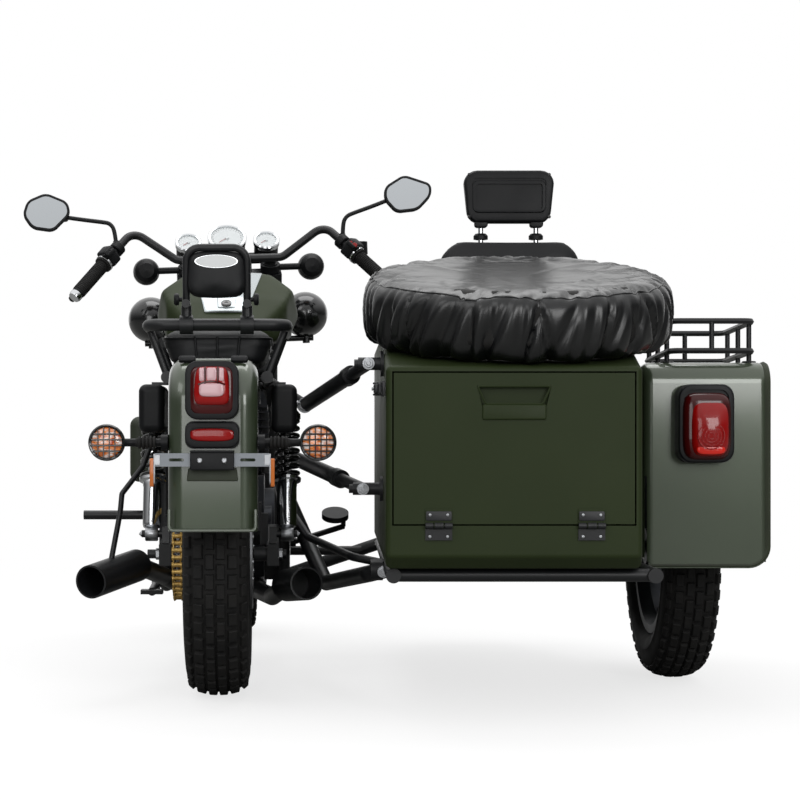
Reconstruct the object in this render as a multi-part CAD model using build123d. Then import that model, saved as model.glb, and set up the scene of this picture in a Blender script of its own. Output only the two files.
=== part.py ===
"""Sidecar motorcycle, in millimetres.

+Y is forward, +X is to the rider's right, where the sidecar is, and +Z is up.
Sizes are given from the rear axle's point on the ground under the bike's centre plane.
At the end everything moves so that the origin is the bottom centre of the whole outline.
"""
from build123d import *
from math import atan2, cos, degrees, hypot, radians, sin
import os

# ---------------------------------------------------------------- driving dimensions
# Clearances
FIT = 0.1            # radial play of a shaft in its bore
SEAT = 0.3           # play between two pieces that rest on each other
RUN = 6.0            # play beside something that turns

# Wheels
WHEELBASE = 1450.0
TYRE_R = 307.0
REAR_TYRE_W = 140.0
FRONT_TYRE_W = 110.0
SIDE_TYRE_W = 130.0
RIM_R = 190.0        # bead seat
AXLE_R = 10.0
HUB_R = 42.0
SPOKE_COUNT = 7

# Steering
RAKE = 27.0          # degrees from upright
FORK_OFFSET = 45.0   # axle ahead of the steering axis
STEER_REST = 5.0     # degrees to the left, as it is parked
LEG_X = 112.0        # fork legs either side of the centre
HEAD_TOP = 965.0     # height of the top of the head tube
HEAD_LENGTH = 170.0
STEM_R = 15.0

# Rear suspension and drive
ARM_X = 118.0        # centre of each swingarm leg
ARM_W = 26.0
ARM_H = 46.0
PIVOT_Y = 400.0
PIVOT_Z = 330.0
SHOCK_X = 150.0
CHAIN_X = -88.0
CHAIN_W = 26.0
REAR_SPROCKET_R = 95.0
FRONT_SPROCKET_R = 38.0
DRIVE_Y = 480.0
DRIVE_Z = 335.0

# Bike frame
TUBE_R = 16.0
CRADLE_X = 142.0
CRADLE_Z = 205.0
RAIL_X = 106.0
RAIL_Z = 690.0
RAIL_R = 13.0

# Rear fender
FENDER_W = 178.0
SHEET = 3.0

# Sidecar
BODY_LEFT = 338.0
TAIL_RIGHT = 835.0
BODY_RIGHT = 892.0
TAIL_Y = -530.0
NOSE_Y = 1180.0
BODY_BOTTOM = 306.0
DECK_REAR_Z = 700.0
DECK_FRONT_Z = 810.0
DECK_FRONT_Y = 60.0
SILL_Z = 790.0       # top of the cockpit's sides
BODY_WALL = 5.0
LEFT_TAPER = 0.031   # how far the left wall comes in, per length forward
BODY_ROUND = 12.0    # radius of the body's outer edges
SIDE_WHEEL_X = 1055.0
SIDE_WHEEL_LEAD = 343.0
SIDE_FENDER_W = 271.0
SIDE_FENDER_X = 1045.0

# Tailgate
HINGE_Z = 391.0
GATE_T = 22.0
GATE_MARGIN = 12.0   # body left standing either side of the tailgate

# Spare wheel on the rear deck
SPARE_X = 624.0
SPARE_Y = -234.0
SPARE_W = 130.0
COVER_T = 10.0

nodes = {}


# ---------------------------------------------------------------- shared shapes
def rod(start, end, radius):
    """A straight round bar between two points."""
    along = Vector(*end) - Vector(*start)
    plane = Plane(origin=start, z_dir=along)
    return plane * Cylinder(radius, along.length, align=(Align.CENTER, Align.CENTER, Align.MIN))


def bent_tube(points, radius, bend):
    """A round tube along straight runs with one bend radius."""
    path = FilletPolyline(*points, radius=bend)
    return sweep(Plane(origin=path @ 0, z_dir=path % 0) * Circle(radius), path=path)


def cross_bar(x_from, x_to, y, z, radius):
    """A round bar along X."""
    return rod((x_from, y, z), (x_to, y, z), radius)


def block(x, y, z, centre):
    """A box of the given size about a centre."""
    return Pos(*centre) * Box(x, y, z)


def side_plate(outline, x_from, x_to):
    """An outline of (y, z) points made solid from x_from to x_to."""
    face = make_face(Polyline([(x_from, y, z) for y, z in outline], close=True))
    return extrude(face, amount=x_to - x_from, dir=(1, 0, 0))


def plan_plate(outline, z_from, z_to):
    """An outline of (x, y) points made solid from z_from to z_to."""
    face = make_face(Polyline([(x, y, z_from) for x, y in outline], close=True))
    return extrude(face, amount=z_to - z_from, dir=(0, 0, 1))


def front_plate(outline, y_from, y_to):
    """An outline of (x, z) points made solid from y_from to y_to."""
    face = make_face(Polyline([(x, y_from, z) for x, z in outline], close=True))
    return extrude(face, amount=y_to - y_from, dir=(0, 1, 0))


def turned(outline):
    """An outline of (x, radius) points turned about X."""
    face = make_face(Polyline([(x, 0, r) for x, r in outline], close=True))
    return revolve(face, Axis.X, 360)


def mirrored(shape):
    """The same shape on the other side of the bike."""
    return mirror(shape, about=Plane.YZ)


def both_sides(shape):
    """The shape and its mirror image, as separate solids."""
    return Compound(children=[*shape.solids(), *mirrored(shape).solids()])


def group(*shapes):
    """Separate solids in one node."""
    return Compound(children=[solid for shape in shapes for solid in shape.solids()])


def channel_sweep(points, bend, width, leg, wall, crown):
    """A U-shaped guard with rounded shoulders, open towards the inside of the path, in the plane X = 0."""
    path = FilletPolyline(*[(0, y, z) for y, z in points], radius=bend)
    start = Plane(origin=path @ 0, x_dir=(1, 0, 0), z_dir=path % 0)
    outer = Pos(0, -leg / 2) * Rectangle(width, leg)
    inner = Pos(0, -wall - leg / 2) * Rectangle(width - 2 * wall, leg)
    outer = fillet(outer.vertices().group_by(Axis.Y)[-1], crown)
    inner = fillet(inner.vertices().group_by(Axis.Y)[-1], crown - wall)
    return sweep(start * (outer - inner), path=path)


# ---------------------------------------------------------------- wheels
def tyre(width):
    """A tyre on a rim with its bead seat at RIM_R, about X."""
    half = width / 2
    bead = half * 0.68
    shoulder = half * 0.55
    outline = [
        (-bead, RIM_R + FIT), (bead, RIM_R + FIT), (bead, RIM_R + 17), (half, RIM_R + 48),
        (half, TYRE_R - 37), (shoulder, TYRE_R), (-shoulder, TYRE_R), (-half, TYRE_R - 37),
        (-half, RIM_R + 48), (-bead, RIM_R + 17),
    ]
    face = make_face(Polyline([(x, 0, r) for x, r in outline], close=True))
    rounded = fillet([v for v in face.vertices() if v.Z > RIM_R + 30], half * 0.3)
    return revolve(rounded, Axis.X, 360)


def cast_wheel(width, hub_length):
    """Rim, spokes and hub in one casting, about X."""
    bead = width / 2 * 0.68 + SEAT
    lip = bead + 6
    rim = turned([
        (-lip, RIM_R + 15), (-bead, RIM_R + 15), (-bead, RIM_R), (bead, RIM_R), (bead, RIM_R + 15),
        (lip, RIM_R + 15), (lip, RIM_R - 4), (bead * 0.5, RIM_R - 18), (-bead * 0.5, RIM_R - 18),
        (-lip, RIM_R - 4),
    ])
    hub = Rot(0, 90, 0) * Cylinder(HUB_R, hub_length)
    spoke = side_plate([(-17, HUB_R - 4), (17, HUB_R - 4), (10, RIM_R - 17), (-10, RIM_R - 17)], -11, 11)
    for index in range(SPOKE_COUNT):
        hub += Rot(360 / SPOKE_COUNT * index, 0, 0) * spoke
    bore = Rot(0, 90, 0) * Cylinder(AXLE_R + FIT, hub_length + 2)
    return rim + hub - bore


def brake_disc(radius, thickness, inner):
    """A drilled brake disc about X."""
    disc = Rot(0, 90, 0) * Cylinder(radius, thickness)
    disc -= Rot(0, 90, 0) * Cylinder(inner, thickness + 2)
    for index in range(12):
        hole = Pos(0, 0, radius - 18) * Rot(0, 90, 0) * Cylinder(5, thickness + 2)
        disc -= Rot(30 * index, 0, 0) * hole
    return disc


def sprocket(radius, teeth, thickness):
    """A toothed wheel about X, with its tips at radius."""
    pitch = 360 / teeth
    outline = []
    for index in range(teeth):
        for share, height in ((0, -9), (0.3, 0), (0.5, 0), (0.8, -9)):
            angle = radians(pitch * (index + share))
            outline.append(((radius + height) * cos(angle), (radius + height) * sin(angle)))
    return side_plate(outline, -thickness / 2, thickness / 2)


SIDE_WHEEL = (SIDE_WHEEL_X, SIDE_WHEEL_LEAD, TYRE_R)
REAR_HUB = 2 * (abs(CHAIN_X) - CHAIN_W / 2 - 6)
SPROCKET_T = 6.0
DISC_T = 5.0
REAR_DISC_R = 120.0


def disc_room(place, radius):
    """The space that a brake disc at a place needs to turn in."""
    return place * Rot(0, 90, 0) * Cylinder(radius + RUN, DISC_T + 2 * RUN - 2)


def rear_wheel_pieces():
    """The rear tyre, wheel, sprocket and disc."""
    centre = Pos(0, 0, TYRE_R)
    nodes["rear_tyre"] = centre * tyre(REAR_TYRE_W)
    wheel = cast_wheel(REAR_TYRE_W, REAR_HUB)
    carrier = Rot(0, 90, 0) * Cylinder(HUB_R + 12, 14)
    wheel += Pos(-REAR_HUB / 2 + 3, 0, 0) * carrier
    wheel -= Rot(0, 90, 0) * Cylinder(AXLE_R + FIT, 300)
    nodes["rear_wheel"] = centre * wheel
    toothed = sprocket(REAR_SPROCKET_R - 9, 40, SPROCKET_T)
    toothed -= Rot(0, 90, 0) * Cylinder(AXLE_R + FIT, SPROCKET_T + 2)
    spacer_length = abs(CHAIN_X) - SPROCKET_T / 2 - (REAR_HUB / 2 + 4)
    spacer = Rot(0, 90, 0) * (Cylinder(HUB_R, spacer_length) - Cylinder(AXLE_R + FIT, spacer_length + 2))
    toothed += Pos(SPROCKET_T / 2 + spacer_length / 2, 0, 0) * spacer
    for index in range(5):
        slot = Pos(0, 0, 64) * Rot(0, 90, 0) * Cylinder(14, SPROCKET_T + 2)
        toothed -= Rot(72 * index, 0, 0) * slot
    nodes["rear_sprocket"] = centre * Pos(CHAIN_X, 0, 0) * toothed
    disc = brake_disc(REAR_DISC_R, DISC_T, 30)
    nodes["rear_brake_disc"] = centre * Pos(REAR_HUB / 2 + DISC_T / 2, 0, 0) * disc


def sidecar_wheel_pieces():
    """The sidecar's tyre and wheel."""
    centre = Pos(*SIDE_WHEEL)
    nodes["sidecar_tyre"] = centre * tyre(SIDE_TYRE_W)
    nodes["sidecar_wheel"] = centre * cast_wheel(SIDE_TYRE_W, 120)


# ---------------------------------------------------------------- steering
UP = (0, -sin(radians(RAKE)), cos(radians(RAKE)))
AHEAD = (0, cos(radians(RAKE)), sin(radians(RAKE)))
STEER_FOOT = (0, WHEELBASE - FORK_OFFSET * AHEAD[1], TYRE_R - FORK_OFFSET * AHEAD[2])
STEER_AXIS = Axis(STEER_FOOT, UP)
HEAD_TOP_W = (HEAD_TOP - STEER_FOOT[2]) / UP[2]
HEAD_BOTTOM_W = HEAD_TOP_W - HEAD_LENGTH
CLAMP_T = 30.0
STEER_Y = WHEELBASE - 450.0   # what is fitted to the steering is placed from here
LEG_R = 20.0
SLIDER_R = 25.0
LEG_TOP_W = HEAD_TOP_W + CLAMP_T + 26


def raked(x, ahead, up):
    """A point given beside, ahead of and up along the steering axis."""
    return (
        x,
        STEER_FOOT[1] + ahead * AHEAD[1] + up * UP[1],
        STEER_FOOT[2] + ahead * AHEAD[2] + up * UP[2],
    )


def raked_at(x, ahead, up):
    """The place of a shape that is drawn upright about the steering axis."""
    return Pos(*raked(x, ahead, up)) * Rot(RAKE, 0, 0)


def steered(shape):
    """A shape of the steering turned to where it is parked."""
    return shape.rotate(STEER_AXIS, STEER_REST)


def above_top_clamp(shape):
    """A shape cut off just above the top clamp."""
    slab = plan_plate([(-160, -80), (160, -80), (160, 90), (-160, 90)], -60, SEAT)
    return shape - raked_at(0, 0, HEAD_TOP_W + 1 + CLAMP_T) * slab


def fork():
    """Stanchions, sliders, clamps, stem and axle."""
    pieces = []
    for side in (-1, 1):
        slider = rod(raked(side * LEG_X, FORK_OFFSET, -20), raked(side * LEG_X, FORK_OFFSET, 330), SLIDER_R)
        leg_top = raked(side * LEG_X, FORK_OFFSET, LEG_TOP_W)
        stanchion = rod(raked(side * LEG_X, FORK_OFFSET, 330), leg_top, LEG_R)
        cap = rod(
            raked(side * LEG_X, FORK_OFFSET, LEG_TOP_W),
            raked(side * LEG_X, FORK_OFFSET, LEG_TOP_W + 10),
            LEG_R - 4,
        )
        pieces.append(slider + stanchion + cap)
    legs = pieces[0] + pieces[1]
    axle = cross_bar(-LEG_X - SLIDER_R - 8, LEG_X + SLIDER_R + 8, WHEELBASE, TYRE_R, AXLE_R)
    edge = LEG_X + LEG_R + 10
    outline = [(-edge, 22), (-edge, 68), (edge, 68), (edge, 22), (40, -28), (-40, -28)]
    for up in (HEAD_BOTTOM_W - CLAMP_T - 1, HEAD_TOP_W + 1):
        legs += raked_at(0, 0, up) * plan_plate(outline, 0, CLAMP_T)
    stem = rod(raked(0, 0, HEAD_BOTTOM_W - CLAMP_T), raked(0, 0, HEAD_TOP_W + CLAMP_T), STEM_R)
    return legs + axle + stem


BAR_R = 11.0
BAR_CENTRE = (0, STEER_Y + 38, 1046)
BAR_BEND = (142, STEER_Y + 38, 1046)
BAR_PEAK = (258, STEER_Y + 30, 1128)
BAR_END = (408, STEER_Y - 85, 960)


def handlebar():
    """The bent bar and its two risers."""
    right = [BAR_BEND, BAR_PEAK, BAR_END]
    points = [(-x, y, z) for x, y, z in reversed(right)] + right
    bar = bent_tube(points, BAR_R, 38)
    for x in (-45, 45):
        foot = raked(x, 12, HEAD_TOP_W + CLAMP_T - 10)
        bar += above_top_clamp(rod(foot, (x, BAR_CENTRE[1], BAR_CENTRE[2]), 14))
    return bar


def along_bar(side, distance):
    """A point on the straight grip run, at a distance inboard of its end."""
    end = Vector(side * BAR_END[0], BAR_END[1], BAR_END[2])
    peak = Vector(side * BAR_PEAK[0], BAR_PEAK[1], BAR_PEAK[2])
    point = end + (peak - end).normalized() * distance
    return (point.X, point.Y, point.Z)


def hand_controls():
    """Grips, switch blocks, levers and the brake reservoir."""
    pieces = []
    for side in (-1, 1):
        bore = rod(along_bar(side, -2), along_bar(side, 168), BAR_R + SEAT)
        grip = rod(along_bar(side, -4), along_bar(side, 118), 17) - bore
        block_ = rod(along_bar(side, 118 + SEAT), along_bar(side, 158), 23) - bore
        pivot = Vector(*along_bar(side, 140)) + Vector(0, 34, 0)
        tip = Vector(*along_bar(side, -30)) + Vector(0, 62, 8)
        perch = rod(along_bar(side, 140), tuple(pivot), 9) - bore
        lever = rod(tuple(pivot), tuple(tip), 6)
        pieces.append(grip)
        pieces.append(block_ + perch + lever)
    pieces[3] += Pos(*(pivot + Vector(25, 0, 8))) * Cylinder(22, 34)
    return group(*pieces)


# corners of the stem, from its clamp on the bar to the back of the glass
MIRROR_STEM = [(304, STEER_Y - 5, 1086), (322, STEER_Y + 12, 1150), (440, STEER_Y + 10, 1172)]
MIRROR_W = 134.0
MIRROR_H = 108.0
MIRROR_X = 486.0


def mirrors():
    """Six-sided mirrors on bent stems."""
    half_w = MIRROR_W / 2
    half_h = MIRROR_H / 2
    outline = [
        (-half_w, 0), (-half_w * 0.55, half_h), (half_w * 0.55, half_h),
        (half_w, half_h * 0.2), (half_w * 0.6, -half_h), (-half_w * 0.5, -half_h),
    ]
    shell = front_plate(outline, 0, 22)
    shell = Pos(MIRROR_X, MIRROR_STEM[2][1] - 12, MIRROR_STEM[2][2] + 12) * shell
    stem = bent_tube(MIRROR_STEM, 6, 18)
    ring = rod(along_bar(1, 168 + SEAT), along_bar(1, 190), BAR_R + 7)
    bore = rod(along_bar(1, 150), along_bar(1, 205), BAR_R + SEAT)
    return both_sides(shell + (stem + ring - bore))


GAUGE_TILT = 46.0    # degrees from upright to its face


def gauge(radius, depth, centre):
    """A round instrument whose face looks back and up."""
    case = Cylinder(radius, depth) + Pos(0, 0, depth / 2 + 3) * Cylinder(radius + 2, 8)
    return Pos(*centre) * Rot(GAUGE_TILT, 0, 0) * case


def gauges():
    """A large instrument between two small ones, on one bracket."""
    case = gauge(50, 50, (0, STEER_Y + 150, 1088))
    for x in (-107, 107):
        case += gauge(33, 44, (x, STEER_Y + 140, 1080))
    bracket = Pos(0, STEER_Y + 150, 1056) * Rot(GAUGE_TILT, 0, 0) * Box(240, 40, 6)
    post = above_top_clamp(rod((0, STEER_Y + 140, 1050), raked(0, 50, HEAD_TOP_W + CLAMP_T - 10), 10))
    return case + bracket + post


LAMP_SHELL = (0, STEER_Y + 355, 868)
LAMP_R = 88.0


def headlamp():
    """A round lamp shell carried ahead of the fork on two ears."""
    profile = [(0, -90), (34, -84), (64, -64), (82, -34), (88, 0), (88, 44), (92, 46), (92, 62), (0, 66)]
    face = make_face(Polyline([(r, y, 0) for r, y in profile], close=True))
    shell = Pos(*LAMP_SHELL) * revolve(face, Axis.Y, 360)
    up = HEAD_BOTTOM_W + 36
    for side in (-1, 1):
        ring = rod(raked(side * LEG_X, FORK_OFFSET, up), raked(side * LEG_X, FORK_OFFSET, up + 26), LEG_R + 7)
        ear = rod(raked(side * LEG_X, FORK_OFFSET, up + 13), (side * 82, LAMP_SHELL[1], LAMP_SHELL[2]), 9)
        bore_top = raked(side * LEG_X, FORK_OFFSET, up + 40)
        bore = rod(raked(side * LEG_X, FORK_OFFSET, up - 9), bore_top, LEG_R + FIT)
        shell += ring + ear - bore
    return shell


SIGNAL_R = 35.0
FRONT_SIGNAL_X = 225.0


def signal(x, y, z, facing):
    """A round turn signal with a bulbous back, its lens at facing along Y."""
    profile = [(0, -34), (20, -30), (31, -18), (SIGNAL_R, 0), (SIGNAL_R, 10), (SIGNAL_R - 4, 15), (0, 18)]
    face = make_face(Polyline([(r, along * facing, 0) for r, along in profile], close=True))
    return Pos(x, y, z) * revolve(face, Axis.Y, 360)


def front_signals():
    """A turn signal on each fork leg, just above the top clamp."""
    up = HEAD_TOP_W + CLAMP_T + 3
    centre = raked(LEG_X, FORK_OFFSET, up + 10)
    ring = rod(raked(LEG_X, FORK_OFFSET, up), raked(LEG_X, FORK_OFFSET, up + 20), LEG_R + 7)
    stalk = cross_bar(LEG_X, FRONT_SIGNAL_X, centre[1], centre[2], 9)
    bore = rod(raked(LEG_X, FORK_OFFSET, up - 20), raked(LEG_X, FORK_OFFSET, up + 40), LEG_R + FIT)
    return both_sides(ring + stalk + signal(FRONT_SIGNAL_X, centre[1], centre[2], 1) - bore)


SPOT_X = 215.0
SPOT_R = 62.0
SPOT_Z = 900.0
SPOT_BAR_R = 8.0


def spot_lamps():
    """Two domed lamps on a bar ahead of the lower clamp."""
    centre = raked(0, 68 + SPOT_BAR_R + SEAT, HEAD_BOTTOM_W - CLAMP_T / 2 - 1)
    bar = cross_bar(-SPOT_X - 20, SPOT_X + 20, centre[1], centre[2], SPOT_BAR_R)
    profile = [
        (0, -66), (26, -61), (46, -46), (58, -24), (SPOT_R, 0), (SPOT_R, 16), (SPOT_R - 5, 22), (0, 24),
    ]
    face = make_face(Polyline([(r, y, 0) for r, y in profile], close=True))
    dome = revolve(face, Axis.Y, 360)
    for side in (-1, 1):
        bar += Pos(side * SPOT_X, centre[1], SPOT_Z) * dome
        bar += rod((side * SPOT_X, centre[1], centre[2] - 14), (side * SPOT_X, centre[1], SPOT_Z), 10)
    return bar


FRONT_FENDER_R = TYRE_R + 26
FRONT_FENDER_W = 136.0


def front_fender():
    """A short guard round the top of the front tyre, bolted to the sliders."""
    outer = Plane.XZ * Pos(0, FRONT_FENDER_R - 26) * Rectangle(FRONT_FENDER_W, 52)
    inner = Plane.XZ * Pos(0, FRONT_FENDER_R - 26 - SHEET) * Rectangle(FRONT_FENDER_W - 2 * SHEET, 52)
    arch = Rot(-42, 0, 0) * revolve(outer - inner, Axis.X, 130)
    guard = Pos(0, WHEELBASE, TYRE_R) * arch
    for side in (-1, 1):
        foot = raked_at(side * (FRONT_FENDER_W / 2 + 10), FORK_OFFSET, FRONT_FENDER_R - 30) * Box(22, 46, 34)
        slider_top = raked(side * LEG_X, FORK_OFFSET, 400)
        slider = rod(raked(side * LEG_X, FORK_OFFSET, 0), slider_top, SLIDER_R + SEAT)
        guard += foot - slider - Pos(0, WHEELBASE, TYRE_R) * Rot(0, 90, 0) * Cylinder(260, 400)
    return guard


FRONT_HUB = 140.0
FRONT_DISC_R = 130.0
FRONT_DISC_X = -FRONT_HUB / 2 - DISC_T / 2


def front_caliper():
    """The brake caliper behind the left slider, astride the disc."""
    jaws = Box(38, 54, 74) + Pos(-28, 40, 0) * Box(20, 60, 40)
    body = raked_at(FRONT_DISC_X, FORK_OFFSET - 78, 96) * jaws
    return body - disc_room(Pos(FRONT_DISC_X, WHEELBASE, TYRE_R), FRONT_DISC_R)


def steering_pieces():
    """Everything that turns with the handlebar."""
    nodes["front_fork"] = fork() + front_caliper()
    nodes["handlebar"] = handlebar()
    nodes["hand_controls"] = hand_controls()
    nodes["mirrors"] = mirrors()
    nodes["gauges"] = gauges()
    nodes["headlamp"] = headlamp()
    nodes["front_signals"] = front_signals()
    nodes["spot_lamps"] = spot_lamps()
    nodes["front_fender"] = front_fender()
    centre = Pos(0, WHEELBASE, TYRE_R)
    nodes["front_tyre"] = centre * tyre(FRONT_TYRE_W)
    nodes["front_wheel"] = centre * cast_wheel(FRONT_TYRE_W, FRONT_HUB)
    nodes["front_brake_disc"] = centre * Pos(FRONT_DISC_X, 0, 0) * brake_disc(FRONT_DISC_R, DISC_T, 30)
    for name in STEERING_NODES:
        nodes[name] = steered(nodes[name])


STEERING_NODES = [
    "front_fork", "handlebar", "hand_controls", "mirrors", "gauges", "headlamp", "front_signals",
    "spot_lamps", "front_fender", "front_tyre", "front_wheel", "front_brake_disc",
]


# ---------------------------------------------------------------- rear suspension and drive
SHOCK_FOOT = (SHOCK_X, 30, 350)
SHOCK_HEAD = (SHOCK_X, 130, 640)


def swingarm():
    """Two legs on a cross tube, with the axle, its spacers, the pivot bolt and the rear caliper."""
    rise = degrees(atan2(PIVOT_Z - TYRE_R, PIVOT_Y))
    length = hypot(PIVOT_Y, PIVOT_Z - TYRE_R)
    arm = cross_bar(-ARM_X - ARM_W / 2, ARM_X + ARM_W / 2, PIVOT_Y, PIVOT_Z, 24)
    leg = Pos(0, length / 2, 0) * Box(ARM_W, length + 50, ARM_H)
    for side in (-1, 1):
        arm += Pos(side * ARM_X, 0, TYRE_R) * Rot(rise, 0, 0) * leg
        lug = side_plate([(10, 320), (50, 322), (44, 366), (16, 366)], -8, 8)
        arm += Pos(side * ARM_X, 0, 0) * lug
        arm += cross_bar(side * (ARM_X - 4), side * (SHOCK_X + 22), SHOCK_FOOT[1], SHOCK_FOOT[2], 8)
    outer = ARM_X + ARM_W / 2
    inner = ARM_X - ARM_W / 2
    arm += cross_bar(-outer - 26, outer + 16, 0, TYRE_R, AXLE_R)
    arm += cross_bar(-inner - 2, CHAIN_X - SPROCKET_T / 2 - 1, 0, TYRE_R, AXLE_R + 6)
    arm += cross_bar(REAR_HUB / 2 + DISC_T + 2, inner + 2, 0, TYRE_R, AXLE_R + 6)
    arm += cross_bar(-CRADLE_X - 8, CRADLE_X + 8, PIVOT_Y, PIVOT_Z, 8)
    disc_x = REAR_HUB / 2 + DISC_T / 2
    caliper = block(38, 60, 62, (disc_x + 1, 76, TYRE_R + 80))
    caliper += block(18, 40, 70, (inner - 7, 76, TYRE_R + 52))
    return arm + (caliper - disc_room(Pos(disc_x, 0, TYRE_R), REAR_DISC_R))


def shock_absorbers():
    """A coil-over damper each side, leaning forward between its two studs."""
    foot = Vector(*SHOCK_FOOT)
    along = (Vector(*SHOCK_HEAD) - foot).normalized()
    length = (Vector(*SHOCK_HEAD) - foot).length

    def up(distance):
        point = foot + along * distance
        return (point.X, point.Y, point.Z)

    shock = rod(up(12), up(120), 19) + rod(up(110), up(length - 12), 11)
    shock += rod(up(104), up(112), 30) + rod(up(length - 34), up(length - 22), 30)
    for index in range(8):
        start = 120 + index * (length - 160) / 8
        shock += rod(up(start), up(start + 9), 27) - rod(up(start - 1), up(start + 10), 10.5)
    for point in (SHOCK_FOOT, SHOCK_HEAD):
        shock += cross_bar(SHOCK_X - 13, SHOCK_X + 13, point[1], point[2], 16)
    for point in (SHOCK_FOOT, SHOCK_HEAD):
        shock -= cross_bar(SHOCK_X - 30, SHOCK_X + 30, point[1], point[2], 8 + FIT)
    return both_sides(shock)


PIN_COUNT = 26
LINK_HALF = 7.0


def chain_loop(grow):
    """The outline of the chain's pitch line, grown outwards, in the plane X = 0."""
    rear = Pos(0, 0, TYRE_R) * Rot(0, 90, 0) * Cylinder(REAR_SPROCKET_R + grow, 4)
    front = Pos(0, DRIVE_Y, DRIVE_Z) * Rot(0, 90, 0) * Cylinder(FRONT_SPROCKET_R + grow, 4)
    span = hypot(DRIVE_Y, DRIVE_Z - TYRE_R)
    slope = atan2(DRIVE_Z - TYRE_R, DRIVE_Y)
    lean = atan2(REAR_SPROCKET_R - FRONT_SPROCKET_R, span)
    corners = []
    for side in (1, -1):
        angle = slope + side * (radians(90) - lean)
        y, z = cos(angle), sin(angle)
        rear_point = ((REAR_SPROCKET_R + grow) * y, TYRE_R + (REAR_SPROCKET_R + grow) * z)
        front_point = (DRIVE_Y + (FRONT_SPROCKET_R + grow) * y, DRIVE_Z + (FRONT_SPROCKET_R + grow) * z)
        corners += [rear_point, front_point] if side == 1 else [front_point, rear_point]
    return rear + front + side_plate(corners, -2, 2)


def chain():
    """Two rows of link plates round the sprockets, with the pins between them."""
    row = chain_loop(LINK_HALF) - chain_loop(-LINK_HALF)
    reach = CHAIN_W / 2 - 2
    links = Pos(CHAIN_X - reach, 0, 0) * row + Pos(CHAIN_X + reach, 0, 0) * row
    for index in range(9):
        angle = radians(100 + index * 20)
        y, z = REAR_SPROCKET_R * cos(angle), TYRE_R + REAR_SPROCKET_R * sin(angle)
        links += cross_bar(CHAIN_X - reach, CHAIN_X + reach, y, z, 3)
    for index in range(5):
        angle = radians(-80 + index * 40)
        y, z = DRIVE_Y + FRONT_SPROCKET_R * cos(angle), DRIVE_Z + FRONT_SPROCKET_R * sin(angle)
        links += cross_bar(CHAIN_X - reach, CHAIN_X + reach, y, z, 3)
    return links


# ---------------------------------------------------------------- engine and exhausts
CASE_X = 95.0
CASE_BOTTOM = 226.0
FIN_COUNT = 8


def engine():
    """Crankcase and gearbox with round side covers and the drive sprocket."""
    outline = [
        (438, 300), (470, CASE_BOTTOM), (800, CASE_BOTTOM), (856, 300),
        (840, 420), (780, 470), (470, 470), (438, 400),
    ]
    case = side_plate(outline, -CASE_X, CASE_X)
    case -= block(60, 120, 300, (-CASE_X - 6, 480, 330))
    case += cross_bar(-CASE_X - 25, -CASE_X, 690, 340, 88)
    case += cross_bar(CASE_X, CASE_X + 25, 680, 340, 96)
    case += cross_bar(CASE_X, CASE_X + 18, 520, 350, 46)
    case += side_plate([(432, 300), (546, 280), (546, 395), (432, 385)], -CASE_X - 25, -CASE_X - 11)
    case += side_plate([(541, 280), (560, 280), (560, 395), (541, 395)], -CASE_X - 25, -CASE_X + 5)
    case += cross_bar(CHAIN_X - SPROCKET_T / 2, -60, DRIVE_Y, DRIVE_Z, 14)
    drive = Rot(9, 0, 0) * sprocket(FRONT_SPROCKET_R - 3 - SEAT, 15, SPROCKET_T)
    case += Pos(CHAIN_X, DRIVE_Y, DRIVE_Z) * drive
    return case


def engine_cylinders():
    """A finned twin cylinder block and its head, leaning a little forward."""
    core = Pos(0, 0, 80) * Box(176, 120, 160)
    for index in range(FIN_COUNT):
        core += Pos(0, 0, 14 + index * 19) * Box(212, 156, 5)
    core += Pos(0, 0, 184) * Box(*HEAD_BOX)
    core += Pos(0, 0, 216) * Box(170, 110, 18)
    return HEAD_PLACE * core - block(300, 600, 100, (0, 690, 420 + SEAT))


# point by point from the cylinder head's port to the open end
LEFT_EXHAUST = [
    (-60, 772, 647), (-66, 912, 560), (-79, 912, 197), (-79, 430, 197), (-138, 285, 240), (-184, 50, 279),
]
RIGHT_EXHAUST = [
    (60, 772, 647), (66, 912, 560), (79, 912, 197), (79, 430, 197), (116, 285, 192), (150, 50, 235),
]
LEFT_TIP = (-268, -150, 256)
RIGHT_TIP = (190, -110, 250)
PIPE_R = 21.0
SILENCER_R = 36.0


HEAD_PLACE = Pos(0, 690, 471) * Rot(-8, 0, 0)
HEAD_BOX = (206.0, 146.0, 50.0)


def exhaust(points, tip):
    """A header pipe and a silencer that is open at its end."""
    head = HEAD_PLACE * Pos(0, 0, 184) * Box(*[size + 2 * SEAT for size in HEAD_BOX])
    pipe = bent_tube(points, PIPE_R, 50) - head
    cone_start = Vector(*points[-1])
    along = (Vector(*tip) - cone_start).normalized()
    silencer = rod(points[-1], tip, SILENCER_R)
    inside = rod(tuple(cone_start + along * 60), tuple(Vector(*tip) + along * 5), SILENCER_R - 4)
    return pipe + silencer - inside


# from under the left side cover down to the silencer
HANGER = [
    (-150, 16, 573 - 2 * SEAT), (-150, 16, 550), (-168, 0, 498),
    (-211, -30, 440), (-214, -40, 400), (-232, -62, 296),
]


def exhausts():
    """Both pipes, with the left silencer's hanger."""
    left = exhaust(LEFT_EXHAUST, LEFT_TIP) + bent_tube(HANGER, 6, 12)
    return group(left, exhaust(RIGHT_EXHAUST, RIGHT_TIP))


# ---------------------------------------------------------------- bike frame
STRUT_LUG = (190, 190, 636)
BACKBONE = [(0, STEER_Y + 85, 880), (0, 650, 760), (0, 580, RAIL_Z)]
BACKBONE_R = 22.0


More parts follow.
